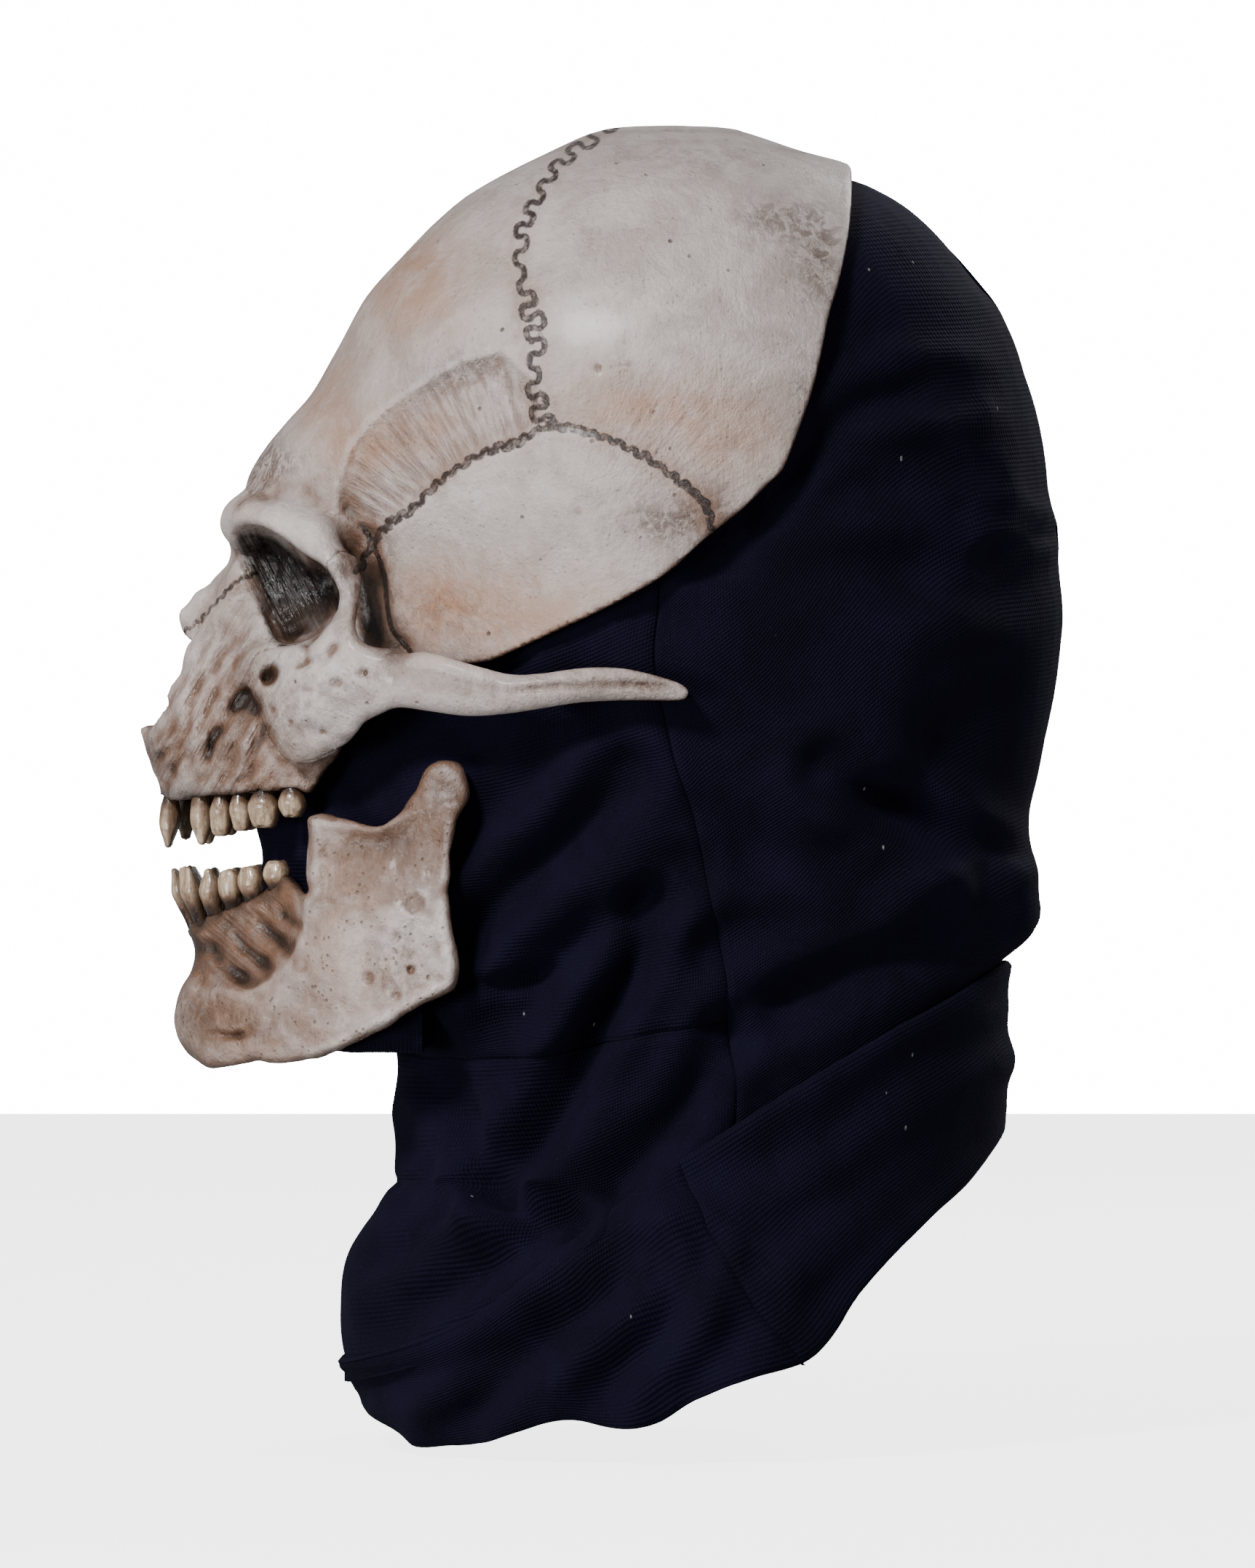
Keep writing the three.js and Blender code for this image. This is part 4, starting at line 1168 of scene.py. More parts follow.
def bone_colour(p, blotch, speck, hairs, wash_and_shade, stir, line, wander, pit, pore):
    """The paint from the ground up: ground, washes, hollows, seams, black gloss and holes. The pale patches
    are partly painted highlight; some washes, the hollows and the black gloss are partly painted shade.
    """
    wet = p.mark("wet")
    # Dry-brushed pale paint, partly painted highlight where light falls on the cheekbone, brow and jaw.
    pale = p.sum("MULTIPLY", p.mark("pale"), p.between(speck, 0.3, 0.6, 0.35, 0.85))
    base = p.mix(p.between(blotch, 0.35, 0.68), tone(188, 176, 172), tone(164, 150, 144))
    base = p.mix(p.between(speck, 0.52, 0.74, 0, 0.4), base, tone(206, 198, 194))
    base = p.mix(pale, base, tone(216, 209, 207))
    base = bone_washes(p, base)
    lines = p.sum("MULTIPLY", p.between(hairs, 0.42, 0.66), p.mark("strand"))
    base = p.mix(p.sum("MULTIPLY", lines, 0.55), base, tone(104, 74, 58))
    base = bone_hollows(p, base, wash_and_shade, stir)
    base = bone_seams(p, base, line, wander, blotch, speck)
    # Near-black gloss paint, with painted shade: blacker towards the orbit's top, along the temple valley
    # and in deep grooves.
    black_gloss_and_shade = p.sum("MULTIPLY", wet, p.between(speck, 0.3, 0.62, 1.0, 0.93))
    base = p.mix(black_gloss_and_shade, base, tone(10, 8, 8))
    base = p.mix(p.sum("MULTIPLY", pore, 0.6), base, tone(112, 86, 70))
    base = p.mix(p.sum("MULTIPLY", pit, 0.8), base, tone(84, 62, 52))
    return p.mix(p.mark("inside"), base, tone(160, 146, 132))


def bone_roughness(p, wash_and_shade, speck):
    """Dull where dry, glossy where the paint lies thick and in its strands."""
    glossy = p.sum("MAXIMUM", p.mark("wet"), p.between(wash_and_shade, 0.2, 0.7))
    glossy = p.sum("MAXIMUM", glossy, p.sum("MULTIPLY", p.mark("strand"), 0.75))
    shine = p.between(glossy, 0, 1, 0.4, 0.2)
    return p.sum("MULTIPLY_ADD", p.sum("SUBTRACT", speck, 0.5), 0.3, shine)


def bone_relief(p, blotch, speck, hairs, line, pit, pore):
    """Fine relief, in mm: cut lines and holes, lumps, strands and brush marks."""
    grain = p.noise(0.8, 4, 0.6)
    weave = p.noise(0.9, 3, 0.5, 0.0, (0.5, 1.0, 0.12))
    dry = p.between(p.mark("wet"), 0.2, 0.9, 1, 0.3)
    lay = None
    for height, depth in ((p.sum("MULTIPLY", line, -1.0), 0.7), (p.sum("MULTIPLY", pit, -1.0), 0.6),
                          (p.sum("MULTIPLY", pore, -1.0), 0.35), (blotch, 1.4),
                          (p.sum("MULTIPLY", hairs, p.mark("strand")), 1.3), (weave, 0.12),
                          (p.sum("MULTIPLY", speck, dry), 0.45),
                          (p.sum("MULTIPLY", grain, dry), 0.22)):
        lay = p.bump(height, depth, lay)
    return lay


def bone_material():
    """Painted latex: pale bone with brown washes and painted shade in its hollows, and dark seams."""
    p = Paint("bone latex")
    blotch = p.noise(17, 5, 0.6, 0.5)
    speck = p.noise(2.4, 6, 0.66)
    hairs = p.strands(1.5, 14)
    stir = p.sum("SUBTRACT", p.noise(3.6, 6, 0.68), 0.5)
    # The hollow mark with noise: it steers the brown wash and painted shade in the hollows, and the gloss.
    wash_and_shade = p.sum("MULTIPLY_ADD", stir, 0.6, p.mark("hollow"))
    waver = p.sum("SUBTRACT", p.noise(2.0, 5, 0.7), 0.5)
    wander = p.sum("MULTIPLY_ADD", waver, 1.3, p.mark("seam"))
    line = p.between(wander, 0.42, 0.95, 1, 0)
    pit, pore = bone_holes(p)
    base = bone_colour(p, blotch, speck, hairs, wash_and_shade, stir, line, wander, pit, pore)
    wet = p.mark("wet")
    return p.finish(base_color=base, roughness=bone_roughness(p, wash_and_shade, speck),
                    normal=bone_relief(p, blotch, speck, hairs, line, pit, pore),
                    coat_weight=p.between(wet, 0, 1, 0.12, 0.03), coat_roughness=0.2,
                    specular_ior_level=p.between(wet, 0, 1, 0.5, 0.28),
                    subsurface_weight=0.05, subsurface_scale=0.0015)


def tooth_material():
    """Painted teeth: yellow bone at the edges, brown at the necks, painted shade almost black towards the
    roots, and darker flanks painted as shade between the teeth.
    """
    p = Paint("tooth paint")
    streak = p.noise(1.6, 5, 0.6, 0.3, (1, 1, 0.22))
    speck = p.noise(1.3, 5, 0.6)
    along = p.sum("MULTIPLY_ADD", p.sum("SUBTRACT", p.noise(3, 4), 0.5), 0.5, p.mark("along"))
    base = p.mix(p.between(streak, 0.34, 0.64), tone(204, 182, 156), tone(154, 128, 102))
    # Brown at the necks, and painted shade, almost black, from the gum down to the roots in their sockets.
    base = p.mix(p.between(along, 0.1, 0.8, 0.95, 0), base, tone(112, 82, 62))
    base = p.mix(p.between(along, 0.0, 0.42, 1.0, 0), base, tone(40, 28, 24))
    # Darker flanks: painted shade between neighbouring teeth.
    flank = p.sum("MULTIPLY_ADD", p.sum("SUBTRACT", speck, 0.5), 0.8, p.mark("flank"))
    base = p.mix(p.between(flank, 0.25, 0.95, 0, 0.75), base, tone(84, 62, 46))
    base = p.mix(p.between(speck, 0.52, 0.7, 0, 0.6), base, tone(92, 68, 52))
    lay = p.bump(streak, 0.35)
    lay = p.bump(speck, 0.15, lay)
    return p.finish(base_color=base, roughness=p.between(speck, 0.3, 0.7, 0.16, 0.32), normal=lay,
                    coat_weight=0.6, coat_roughness=0.08)


def knit_material():
    """Very dark navy knit: fine ribs, a little fuzz and lint."""
    p = Paint("rib knit")
    rib = p.sum("SINE", p.sum("MULTIPLY", p.mark("rib"), 2 * math.pi / 1.1))
    wale = p.sum("SINE", p.sum("MULTIPLY", p.mark("wale"), 2 * math.pi / 0.9))
    fuzz = p.noise(0.7, 4, 0.7)
    worn = p.noise(26, 4, 0.6, 0.6)
    base = p.mix(p.between(worn, 0.35, 0.7), tone(10, 7, 23), tone(15, 12, 32))
    base = p.mix(p.between(fuzz, 0.5, 0.75, 0, 0.5), base, tone(26, 23, 46))
    lint = p.between(p.cells(13, (1, 1, 0.55)), 0.02, 0.035, 1, 0)
    base = p.mix(p.sum("MULTIPLY", lint, 0.7), base, tone(150, 148, 146))
    stitch = p.sum("MULTIPLY_ADD", wale, 0.35, p.sum("MULTIPLY", rib, 0.65))
    lay = p.bump(stitch, 0.16)
    lay = p.bump(fuzz, 0.22, lay)
    lay = p.bump(worn, 1.0, lay)
    return p.finish(base_color=base, roughness=0.85, normal=lay, sheen_weight=0.045,
                    sheen_roughness=0.4, sheen_tint=tone(122, 106, 180),
                    specular_ior_level=0.08)


# ---- pieces ------------------------------------------------------------------------------------


def mesh_object(name, points, faces, material, marks):
    """A mesh from points in mm, with a value at each point for each mark."""
    mesh = bpy.data.meshes.new(name)
    if isinstance(faces, np.ndarray):
        count, corners = faces.shape
        mesh.vertices.add(len(points))
        mesh.vertices.foreach_set("co", (np.asarray(points) * MM).ravel())
        mesh.loops.add(count * corners)
        mesh.loops.foreach_set("vertex_index", faces.ravel())
        mesh.polygons.add(count)
        mesh.polygons.foreach_set("loop_start", np.arange(0, count * corners, corners))
        mesh.update(calc_edges=True)
    else:
        mesh.from_pydata((points * MM).tolist(), [], faces)
    mesh.shade_smooth()
    for key, values in marks.items():
        values = np.broadcast_to(values, len(points)).astype(np.float32)
        mesh.attributes.new(key, "FLOAT", "POINT").data.foreach_set("value", values)
    mesh.materials.append(material)
    obj = bpy.data.objects.new(name, mesh)
    bpy.context.scene.collection.objects.link(obj)
    return obj


def applied(obj):
    """The object with its modifiers made part of its mesh."""
    graph = bpy.context.evaluated_depsgraph_get()
    mesh = bpy.data.meshes.new_from_object(obj.evaluated_get(graph))
    old = obj.data
    obj.modifiers.clear()
    obj.data = mesh
    bpy.data.meshes.remove(old)
    return obj


def thin_inside(obj, share):
    """Fewer faces on the inner side, where the mark inside is 1."""
    count = len(obj.data.vertices)
    inside = np.zeros(count, np.float32)
    obj.data.attributes["inside"].data.foreach_get("value", inside)
    group = obj.vertex_groups.new(name="inner")
    group.add(np.flatnonzero(inside > 0.5).tolist(), 1.0, "REPLACE")
    modifier = obj.modifiers.new("thin", "DECIMATE")
    modifier.ratio = share
    modifier.vertex_group = "inner"
    return applied(obj)


def cloth_object(name, points, material):
    """A sheet from a grid of points in mm, with the knit's ribs along its rows."""
    rows, columns = points.shape[:2]
    up = np.linalg.norm(np.diff(points, axis=0), axis=-1).mean(1)
    across = np.linalg.norm(np.diff(points, axis=1), axis=-1).mean(0)
    rib = np.repeat(np.r_[0, np.cumsum(up)], columns)
    wale = np.tile(np.r_[0, np.cumsum(across)], rows)
    flat = points.reshape(-1, 3)
    faces = grid_faces(rows, columns)
    obj = mesh_object(name, flat, faces, material, {"rib": rib, "wale": wale})
    face_out(obj, flat, faces)
    solid = obj.modifiers.new("cloth", "SOLIDIFY")
    solid.thickness = CLOTH_THICK * MM
    solid.offset = -1
    return applied(obj)


def face_out(obj, points, faces):
    """Turns the faces over if most look inwards."""
    a, b, c = (points[faces[:, i]] for i in (0, 1, 2))
    n = np.cross(b - a, c - a)
    if np.sum(n * a * (1, 1, 0)) < 0:
        obj.data.flip_normals()


def blob(y, z, centre, reach):
    """A soft oval spot seen from the side, 1 in its middle."""
    d = ((y - centre[0]) / reach[0]) ** 2 + ((z - centre[1]) / reach[1]) ** 2
    return np.exp(-d)


def hollows(points, b, f):
    """How deep in a hollow each point lies, about 0 on open faces and 1 in a crevice. It steers the brown
    wash and painted shade in the hollows.
    """
    fine = sampled(blurred(f, round(2.2 / b.cell)), points, b)
    wide = sampled(blurred(f, round(7.0 / b.cell)), points, b)
    return np.clip(-fine * 2.2, -0.4, 1) * 0.55 + np.clip(-wide * 0.33 + 0.1, 0, 1) * 0.75


# Painted patches: y, z, reach along y and z, strength.
SKULL_WARM = [(-58, 92, 16, 20, 0.8), (-82, 62, 10, 16, 0.6), (-57, 50, 14, 8, 0.8), (-72, 44, 8, 9, 0.6),
              (6, 56, 26, 9, 0.7), (26, 44, 14, 9, 0.5), (-50, 6, 14, 12, 0.8), (-24, 2, 24, 12, 0.7),
              (-106, -28, 20, 20, 0.5), (-92, -40, 12, 8, 0.6), (-100, 34, 10, 8, 0.3),
              (-40, -10, 30, 4, 0.2)]
# Among the brown and dark patches, those round the cheekbone's upright process and along the lower side and
# rear end of its arch are painted shade.
SKULL_BROWN = [(-110, -32, 16, 12, 0.6), (-95, -41, 14, 6, 0.7), (-104, -14, 7, 9, 0.5),
               (-126, -34, 6, 10, 0.6), (-108, 3, 9, 12, 0.5), (-68, 8, 5, 14, 0.6), (-74, 32, 6, 10, 0.6),
               (-40, -17, 34, 4, 0.6), (4, -16, 16, 5, 0.7), (20, 28, 7, 8, 1.0), (-100, 12, 8, 10, 0.5),
               (-60, 50, 9, 5, 0.4)]
# Dark patches: some are painted shade, as said above.
SKULL_DARK = [(-86, -24, 12, 9, 0.45), (-70, -14, 9, 4, 0.6), (-97, 52, 6, 6, 0.5),
              (50, 96, 7, 14, 1.0), (38, 106, 10, 6, 0.8), (46, 60, 4, 9, 0.6),
              (9, 26, 10, 6, 1.0), (20, 30, 6, 7, 1.0), (-10, 100, 6, 6, 0.35), (-44, 66, 12, 6, 0.8),
              (-95, 43, 9, 4, 1.0), (-99, 37, 5, 3, 0.8), (-99, 46, 5, 9, 0.9), (22, 123, 26, 4, 0.4),
              (-100, -5, 12, 6, 0.5), (-108, -30, 10, 14, 0.6), (-64, 4, 5, 12, 0.8), (-66, 22, 6, 8, 0.6),
              (-14, -15, 22, 3, 0.8), (6, -17, 12, 3, 0.8), (-80, 12, 5, 8, 0.6),
              (-1, 66, 2, 2, 1.0), (-76, 15, 4, 6, 0.8), (-48, 2, 14, 8, 0.5), (-126, -33, 5, 9, 0.7)]
# Dry-brushed pale paint, partly painted highlight where light falls on the cheekbone and brow.
SKULL_PALE = [(-86, -20, 13, 12, 0.9), (-86, 27, 12, 7, 0.8), (-73, 8, 4, 9, 0.5), (-70, -12, 12, 5, 0.6),
              (-112, 6, 8, 8, 0.3), (-55, 45, 9, 10, 0.4), (-40, 34, 14, 10, 0.4), (-30, -15, 30, 3, 0.3)]


def painted(y, z, patches):
    """How strongly the patches cover each place, from 0 to 1."""
    total = sum(strength * blob(y, z, (py, pz), (ry, rz)) for py, pz, ry, rz, strength in patches)
    return np.clip(total, 0, 1)


def skull_seams(x, y, z):
    """Distance to the nearest suture or drawn line, at most 12."""
    crown = line_distance(y, z, wriggled(SUTURE_CROWN, 2.3, 7.0, 0.14, 5))
    arch = line_distance(y, z, wriggled(SUTURE_ARCH, 0.75, 3.8, 0.1, 6))
    nose = line_distance(y, z, wriggled(NOSE_SUTURE, 0.4, 3.0, 0.05, 7))
    behind = line_distance(y, z, smooth_line(SKULL_GROOVES[0][0], 4))
    seam = np.minimum(crown, np.where(x > 30, arch, 20))
    seam = np.minimum(seam, np.where(x < 30, nose + 0.3, 20))
    seam = np.minimum(seam, np.where(x > 40, behind + 0.1, 20))
    return np.clip(seam, 0, 12)


def skull_strands(y, z, socket_wall):
    """Where strands of paint run, and the places across and along them."""
    fan = np.arctan2(z - 6, y + 22)
    temple = np.concatenate([smooth_line(TEMPLE_EDGE, 4), smooth_line(TEMPLE_FLOOR, 4)])
    upper = outline_distance(y, z, temple)
    strand = np.clip(-upper / 4, 0, 1) + 0.45 * blob(y, z, (14, 52), (34, 16))
    muzzle_part = np.clip((-86 - y) / 8, 0, 1) * np.clip((8 - z) / 10, 0, 1)
    across = np.where(muzzle_part > 0.02, y * 0.87 - z * 0.5, fan * 42)
    across = np.where(socket_wall > 0.02, y * 0.88 + z * 0.48, across)
    length = np.where(muzzle_part > 0.02, y * 0.5 + z * 0.87, np.hypot(z - 6, y + 22))
    length = np.where(socket_wall > 0.02, y * 0.48 - z * 0.88, length)
    return np.clip(strand + 0.9 * muzzle_part + socket_wall, 0, 1), across, length


def skull_marks(points, b, f):
    """The marks that steer the paint, at each point."""
    x, y, z = np.abs(points[:, 0]), points[:, 1], points[:, 2]
    valley = line_distance(y, z, smooth_line(SKULL_GROOVES[1][0], 4))
    temple = np.exp(-((valley / 5.5) ** 4)) * (x > 36)
    inside = np.clip((-sampled(f, points, b) - 1.8) / 1.2, 0, 1)
    outline = outline_distance(y, z, smooth_line(ORBIT, 4, True))
    in_orbit = (y < -70) * (x > 8)
    # Black gloss paint in the orbit, made blacker towards the top as painted shade under the brow.
    wet = np.clip(-outline / 3.0 + 0.1, 0, 1) * in_orbit * np.clip(0.8 + z / 40, 0, 1)
    gum = np.clip(1.2 - np.abs(z + 44.5) / 2.4, 0, 1) * (y < -82) * 0.6
    depth = groove_depths(b, SKULL_GROOVES, SKULL_PITS)[None]
    cut = sampled(depth, points, b) * (x > 8)
    # Blacker along the bottom of the temple valley and in the deepest grooves: painted shade.
    deep = np.exp(-((valley / 3.4) ** 2)) * np.clip((24 - z) / 8, 0, 1) * (x > 36)
    for part in (np.clip((cut - 1.9) / 5, 0, 0.4), gum, 0.7 * deep):
        wet = np.maximum(wet, part)
    # Brown along the temple valley and in the grooves by their depth: brown paint and painted shade.
    brown = np.maximum(painted(y, z, SKULL_BROWN), temple)
    brown = np.maximum(brown, 0.9 * np.clip(cut / 2.4, 0, 1))
    strand, across, length = skull_strands(y, z, np.clip(-outline / 3, 0, 1) * in_orbit)
    return {"seam": skull_seams(x, y, z), "inside": inside, "wet": wet, "brown": brown,
            "warm": painted(y, z, SKULL_WARM), "dark": painted(y, z, SKULL_DARK),
            "pale": painted(y, z, SKULL_PALE), "pores": 0.35,
            "hollow": hollows(points, b, f) + 0.1 * np.clip(cut, 0, 3),
            "strand": strand, "across": across, "length": length}


def outside_keep(b):
    """The part of the skull that the casting covers, seen from the side."""
    low = smooth_line(GUM, 4)
    frame_line = np.array([(-140, -45), (-140, 145), (59.5, 145)], float)
    return b.side_outline(np.concatenate([smooth_line(RIM, 4), low, frame_line]))


def cheek_region(b):
    """The part of the face that the cheekbone takes from the skull."""
    region = b.side_outline(smooth_line(CHEEK, 4, True))
    return np.maximum(region - 0.02, (34 - b.x) * 0.7)


def skull_shell(b, whole):
    """The skull's wall with its openings and sockets, without the cheekbone."""
    thick = SKULL_WALL + np.clip((-30 - b.z) * 0.6, 0, 5)
    shell = np.maximum(whole, -(whole + thick))
    half = smooth_line(NOSE, 5)
    aperture = outline_distance(b.x[:, :, 0], b.z[0], np.concatenate([half, half[::-1] * (-1, 1)]))
    shell = carve(shell, np.maximum(aperture[:, None], b.y + 88).astype(np.float32), 1.5)
    x, z, radius = EYE_HOLE
    eye = np.sqrt((b.x - x) ** 2 + (b.z - z) ** 2) - radius
    shell = carve(shell, np.maximum(eye, -92 - b.y), 1.0)
    shell = common(shell, outside_keep(b), 1.0)
    shell = carve(shell, common(cheek_region(b) + 0.5, cheekbone(b) - 3.5, 0.3), 0.1)
    for tooth in UPPER:
        shell = carve(shell, socket(b, "upper", tooth), 1.0)
    return shell


def socket(b, arch, tooth):
    """A tooth's hole, a little wider than its neck."""
    origin, _, _, crown = tooth_place(arch, tooth)
    start = origin - crown * SOCKET
    end = origin + crown * 4
    r = 0.3 * (tooth.wide + tooth.deep) / 2
    return rod(b, start, end, r, r)


def make_skull(material):
    """The skull casting, with fewer faces inside its wall."""
    low = (0, -134, -50)
    b = Block(low, (92, 64, 138), SKULL_CELL * (1))
    whole = whole_skull(b)
    full = both_sides(skull_shell(b, whole))
    points, faces = surface(full, (-(b.shape[0] - 1) * b.cell, *low[1:]), b.cell)
    obj = mesh_object("skull_casting", points, faces, material, skull_marks(points, b, whole))
    return thin_inside(obj, 0.62)


def make_cheekbone(side, material):
    """A cheekbone, cut from the same form as the skull."""
    b = Block((24, -110, -42), (93, 24, 28), CHEEK_CELL * (1))
    whole = whole_skull(b)
    f = common(np.maximum(whole, cheekbone(b) - 3.0), cheek_region(b), 0.1)
    points, faces = surface(f, b.low, b.cell)
    marks = skull_marks(points, b, whole)
    marks["inside"] = 0.0
    if side < 0:
        points = points * (-1, 1, 1)
        faces = faces[:, ::-1]
    name = "cheekbone_" + ("left" if side > 0 else "right")
    return mesh_object(name + "_casting", points, faces, material, marks)


# The warm, brown and dark patches low on the jaw's body and round the condyle are partly paint and partly
# painted shade.
JAW_WARM = [(-108, -104, 20, 12, 0.7), (-72, -66, 12, 12, 0.8), (-66, -94, 16, 9, 0.5),
            (-80, -84, 8, 16, 0.4), (-92, -108, 16, 6, 0.4)]
JAW_BROWN = [(-104, -84, 14, 12, 0.5), (-113, -105, 12, 12, 0.95), (-50, -47, 8, 9, 1.5),
             (-71, -66, 8, 9, 0.6), (-78, -96, 12, 5, 0.4), (-70, -58, 14, 6, 0.5),
             (-82, -80, 5, 22, 0.35), (-92, -106, 16, 7, 0.55), (-50, -58, 5, 14, 0.5)]
JAW_DARK = [(-50, -48, 8, 10, 1.0), (-56, -73, 4, 6, 0.6), (-60, -91, 10, 8, 0.7),
            (-72, -70, 12, 14, 0.3), (-100, -105, 14, 6, 0.5), (-118, -102, 6, 9, 0.6),
            (-72, -108, 14, 4, 0.4)]

# Dry-brushed pale paint, partly painted highlight: on the ramus, along the raised edge and on the condyle's
# top.
JAW_PALE = [(-57, -72, 9, 11, 0.75), (-62, -104, 14, 3, 0.4), (-48, -84, 4, 12, 0.6), (-84, -58, 2, 9, 0.9),
            (-43, -37, 2, 2, 1.0)]


def inner_side(face, points, b):
    """One on the wall's inner side, nought on the side that is seen."""
    return np.clip((-sampled(face, points, b) - 3.2) / 1.2, 0, 1)


def jaw_marks(points, b, face, inside):
    """The marks that steer the jaw's paint, at each point."""
    x, y, z = np.abs(points[:, 0]), points[:, 1], points[:, 2]
    step = sampled(inside, points, b)
    sunk = np.clip(step / 5, 0, 1)
    inner = inner_side(face, points, b)
    cut = sampled(groove_depths(b, JAW_GROOVES, JAW_PITS)[None], points, b) * (x > 8)
    cut = np.clip(cut, 0, 3) * (1 - inner) * np.clip((-83 - y) / 4, 0.15, 1)
    # A band inside the raised edge, darkened through the hollow mark below as painted shadow cast by that
    # edge.
    edge = np.exp(-(((step - 3) / 3.2) ** 2)) * np.clip((y + 106) / 8, 0, 1) * (step > 0.1)
    gum_line = smooth_line([(t.x, t.gum) for t in LOWER], 3)
    gum = np.clip(1.1 - np.abs(z - np.interp(x, *gum_line.T)) / 2.4, 0, 1) * 0.4
    front = np.clip((17 - x) / 3, 0, 1) * np.clip((-106 - y) / 3, 0, 1)
    hollow = 0.8 * hollows(points, b, face) + 0.22 * sunk + 0.12 * edge + 0.08 * cut
    return {"seam": 12.0, "inside": inner * (1 - front), "hollow": hollow,
            "wet": np.maximum(0.3 * sunk, gum * (y < -84)),
            "warm": np.clip(painted(y, z, JAW_WARM) + sunk, 0, 1),
            "dark": np.clip(painted(y, z, JAW_DARK) + 0.3 * sunk, 0, 1),
            "brown": np.maximum(painted(y, z, JAW_BROWN), np.clip(cut / 4, 0, 0.6)),
            "pale": painted(y, z, JAW_PALE), "pores": 1 - sunk, "strand": 0.6 * sunk,
            "across": y * 0.62 + z * 0.78, "length": y * 0.78 - z * 0.62}


def make_jaw(material):
    """The jaw casting with its sockets."""
    low = (0, -125, -122)
    b = Block(low, (75, -36, -32), JAW_CELL * (1))
    f, face = jaw_form(b)
    for tooth in LOWER:
        origin, _, out, crown = tooth_place("lower", tooth)
        start = origin - crown * 4.5 + out * 0.2
        f = join(f, rod(b, start, origin - crown * 1.5, 1.0, 0.34 * tooth.wide), 2.5)
    for tooth in LOWER:
        f = carve(f, socket(b, "lower", tooth), 1.0)
    points, faces = surface(both_sides(f), (-(b.shape[0] - 1) * b.cell, *low[1:]), b.cell)
    inside = np.broadcast_to(under_teeth(b), b.shape)
    return mesh_object("jaw_casting", points, faces, material, jaw_marks(points, b, face, inside))


def make_teeth(material):
    """Every tooth of both arches and both sides, but for the missing one."""
    seed = 7
    for arch, row, body in (("upper", UPPER, "head"), ("lower", LOWER, "jaw")):
        for tooth in row:
            for side in (1, -1):
                name = f"{arch}_{tooth.name}_" + ("left" if side > 0 else "right")
                seed += 1
                if name == MISSING:
                    continue
                points, faces, marks = tooth_mesh(arch, tooth, seed)
                if side < 0:
                    points = points * (-1, 1, 1)
                    faces = [f[::-1] for f in faces]
                obj = mesh_object(name + "_cast", points, faces, material, marks)
                settle(obj, name, body)


def settle(obj, node, body):
    """The piece stands for a node: the node's part is hidden, and the piece rides on its body if it has
    one.
    """
    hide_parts(node)
    if body:
        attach(obj, body)


def cowl_lift(rows, columns, seed, front):
    """How far the cowl stands off the hood, by row from hem to fold."""
    rng = np.random.default_rng(seed)
    v = np.linspace(0, 1, rows)[:, None]
    u = np.linspace(0, 1, columns)[None]
    wave = sum(np.sin(2 * math.pi * (k * u + rng.uniform())) / k for k in (1, 2, 3, 5))
    lift = 3.4 + 1.4 * v**3 + 0.7 * wave * (0.3 + v * (1 - v) * 2)
    return lift * (0.45 + 0.55 * np.clip(u * 3, 0, 1)) if front else lift


def rolled(points, outward):
    """Adds the fold at the cowl's upper edge: the cloth turns over and runs down inside."""
    top, out = points[-1], outward[-1]
    rows = [points]
    for drop, back in ((-0.5, 0.5), (-0.75, 1.3), (-0.5, 2.2), (0.4, 2.9), (2, 3.2), (6, 3.2)):
        rows.append((top - out * back - np.array((0, 0, drop)))[None])
    return np.concatenate(rows)


def cowl_points(half, front, seed):
    """The surface of half a cowl, lifted off the hood and turned over at its upper edge."""
    p = cloth_points(half, seed, COWL_CREASES, cowl_lift(*half.shape[:2], seed, front))
    base = hood_point(half[..., 0], half[..., 1])
    out = p - base
    out = out / np.maximum(np.linalg.norm(out, axis=-1, keepdims=True), 1e-6)
    return rolled(p, out)


def over_middle(half, other, front):
    """One sheet over the middle from its left half and its right half."""
    other = other * (-1, 1, 1)
    if front:
        return np.concatenate([other[:, :0:-1], half], 1)
    return np.concatenate([half, other[:, -2::-1]], 1)


def blended_middle(half, other, front):
    """Both halves given the same middle column, with the change spread over their width."""
    columns = half.shape[1]
    t = np.linspace(0, 1, columns)
    near = (1 - t if front else t) ** 3
    middle = 0 if front else -1
    mean = (half[:, middle] + other[:, middle]) / 2
    mean = mean * (0, 1, 1)
    half = half + near[None, :, None] * (mean - half[:, middle])[:, None]
    other = other + near[None, :, None] * (mean - other[:, middle])[:, None]
    return half, other


def whole_sheet(grid, make, front):
    """A sheet over the middle, its halves creased differently."""
    left, right = (make(grid, seed) for seed in (3, 11))
    left, right = blended_middle(left, right, front)
    return over_middle(left, right, front)


def grid_area(points):
    """Area of a grid of points in mm, in square metres."""
    a = points[:-1, :-1]
    c = points[1:, 1:]
    n = np.cross(points[:-1, 1:] - points[1:, :-1], c - a)
    return float(np.linalg.norm(n, axis=-1).sum() / 2 * 1e-6)


def flat_size(points):
    """(width, length, area) that the sheet had before it was sewn, in metres."""
    across = np.linalg.norm(np.diff(points, axis=1), axis=-1).sum(1)
    up = np.linalg.norm(np.diff(points, axis=0), axis=-1).sum(0)
    area = grid_area(points)
    width, length = float(across.max() * MM), float(up.max() * MM)
    return width, length, max(area, 0.32 * width * length)


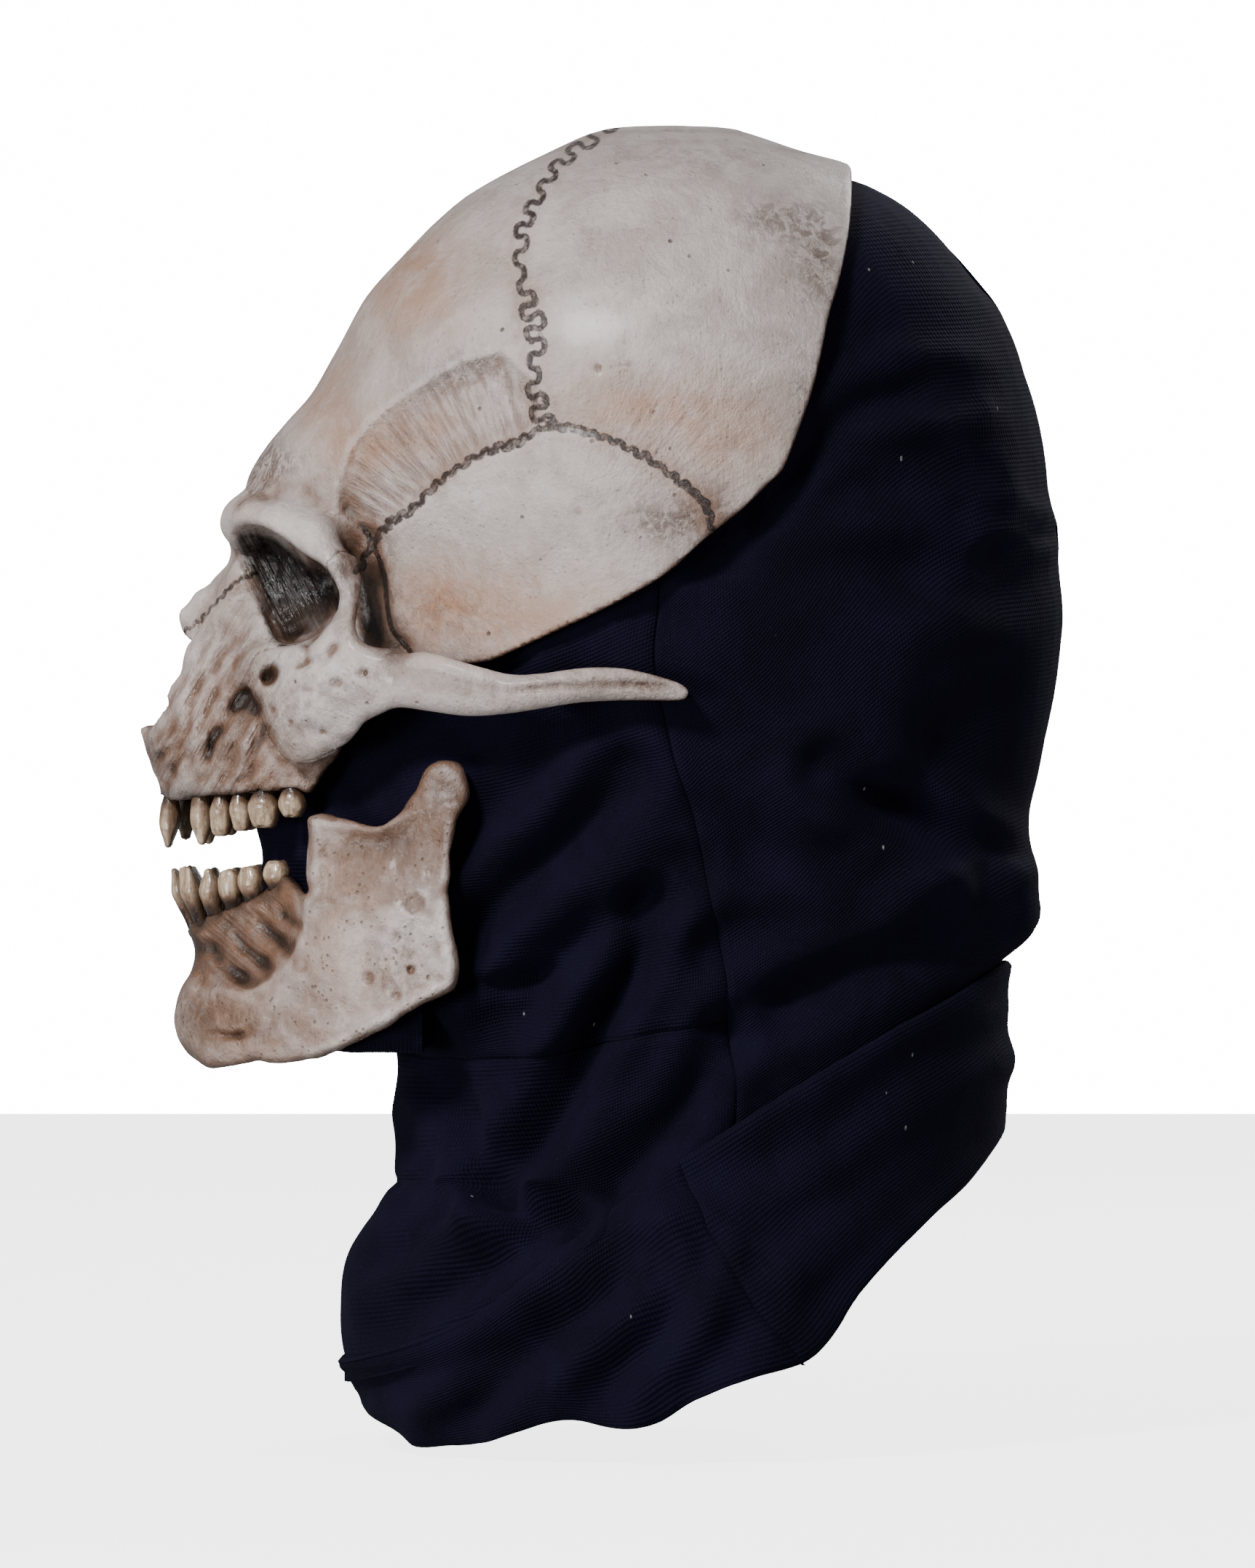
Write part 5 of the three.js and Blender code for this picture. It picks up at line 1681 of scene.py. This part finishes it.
def side_panels():
    """The hood's back and cheek panels, as (node, points, body)."""
    panels = []
    for name, grid in (("hood_back", back_panel()), ("hood_cheek", cheek_panel())):
        for side, label, seed, strength in ((1, "left", 3, 1.0), (-1, "right", 11, 0.8)):
            p = cloth_points(grid, seed, CREASES, 0.0, strength)
            if name == "hood_back":
                p[:, -1, 0] = -BACK_OVERLAP
                p[..., 0] = np.maximum(p[..., 0], -BACK_OVERLAP)
            panels.append((f"{name}_{label}", p * (side, 1, 1), "head"))
    return panels


def middle_sheets():
    """The sheets that cross the middle, as (node, points, body). Two ride on no body."""
    throat = whole_sheet(throat_half(), lambda g, s: cloth_points(g, s, CREASES), True)
    front = whole_sheet(cowl_half(True), lambda g, s: cowl_points(g, True, s), True)
    back = whole_sheet(cowl_half(False), lambda g, s: cowl_points(g, False, s), False)
    return [("throat_panel", throat, "head"), ("cowl_front", front, "head"),
            ("cowl_back", back, "head"), ("chin_cup", trough_grid(-112.5, -81), "jaw"),
            ("chin_gusset", trough_grid(-79.6, -54), None), ("mouth_panel", mouth_grid(), None)]


def make_hood(material):
    """The hood's ten sheets. Two of them, between head and jaw, ride on no body."""
    objects = {}
    for name, points, body in side_panels() + middle_sheets():
        obj = cloth_object(name + "_cloth", points, material)
        settle(obj, name, body)
        width, length, area = flat_size(points)
        objects[name] = obj
    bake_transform(objects["chin_gusset"])
    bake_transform(objects["mouth_panel"])


def make_mask():
    """The whole object."""
    bone = bone_material()
    settle(make_skull(bone), "skull_shell", "head")
    for side, label in ((1, "left"), (-1, "right")):
        settle(make_cheekbone(side, bone), f"cheekbone_{label}", "head")
    settle(make_jaw(bone), "jaw_shell", "jaw")
    make_teeth(tooth_material())
    make_hood(knit_material())


# ---- floor, light and camera -------------------------------------------------------------------


# Lamps: name, place and target in metres, size and power.
LAMPS = [
    ("key", (1.2, -0.7, 0.9), (0, 0, 0), 0.3, 27),
    ("front", (1.1, -1.1, -0.2), (0, 0, -0.05), 0.6, 12),
    ("rear", (0.9, 1.4, 0.1), (0, 0.1, -0.05), 0.8, 3.5),
    ("far", (-1.2, 0.9, 0.9), (0, 0, 0), 0.8, 14),
]
FLOOR_HEIGHT = -0.2185
CAMERA_PLACE = (2.5, -0.0003, -0.0417)
CAMERA_LENS = 214.1


def area_light(name, place, target, size, power):
    """A round lamp that shines at the target."""
    lamp = bpy.data.lights.new(name, "AREA")
    lamp.shape = "DISK"
    lamp.size = size
    lamp.energy = power
    obj = bpy.data.objects.new(name, lamp)
    obj.location = place
    way = Vector(target) - Vector(place)
    obj.rotation_euler = way.to_track_quat("-Z", "Y").to_euler()
    bpy.context.scene.collection.objects.link(obj)


def glowing(name, strength):
    """A white surface that only the camera sees, so it lights nothing."""
    material = bpy.data.materials.new(name)
    material.use_nodes = True
    shader = material.node_tree.nodes["Principled BSDF"]
    shader.inputs["Base Color"].default_value = (0, 0, 0, 1)
    shader.inputs["Emission Color"].default_value = (1, 1, 1, 1)
    shader.inputs["Emission Strength"].default_value = strength
    return material


def make_studio():
    """World light, lamps, a white backdrop and a pale floor."""
    world = bpy.data.worlds.new("studio")
    bpy.context.scene.world = world
    world.use_nodes = True
    sky = world.node_tree.nodes["Background"]
    sky.inputs["Color"].default_value = (0.96, 0.98, 1, 1)
    sky.inputs["Strength"].default_value = 0.26
    for lamp in LAMPS:
        area_light(*lamp)
    bpy.ops.mesh.primitive_uv_sphere_add(segments=48, ring_count=24, radius=7)
    backdrop = bpy.context.object
    backdrop.name = "backdrop"
    backdrop.data.materials.append(glowing("backdrop", 16))
    bpy.ops.mesh.primitive_plane_add(size=5, location=(0, 0, FLOOR_HEIGHT))
    floor = bpy.context.object
    floor.name = "floor"
    pale = glowing("floor", 3.5)
    pale.node_tree.nodes["Principled BSDF"].inputs["Base Color"].default_value = (0.8, 0.8, 0.8, 1)
    floor.data.materials.append(pale)
    for stage in (backdrop, floor):
        for ray in ("diffuse", "glossy", "transmission", "shadow"):
            setattr(stage, "visible_" + ray, False)


def make_camera():
    """The camera, level and square to the wearer's left side."""
    data = bpy.data.cameras.new("camera")
    data.sensor_fit = "VERTICAL"
    data.sensor_height = 36
    data.lens = CAMERA_LENS
    data.clip_end = 20
    camera = bpy.data.objects.new("camera", data)
    camera.location = CAMERA_PLACE
    camera.rotation_euler = (math.radians(90), 0, math.radians(90))
    bpy.context.scene.collection.objects.link(camera)
    bpy.context.scene.camera = camera


make_mask()
make_studio()
make_camera()
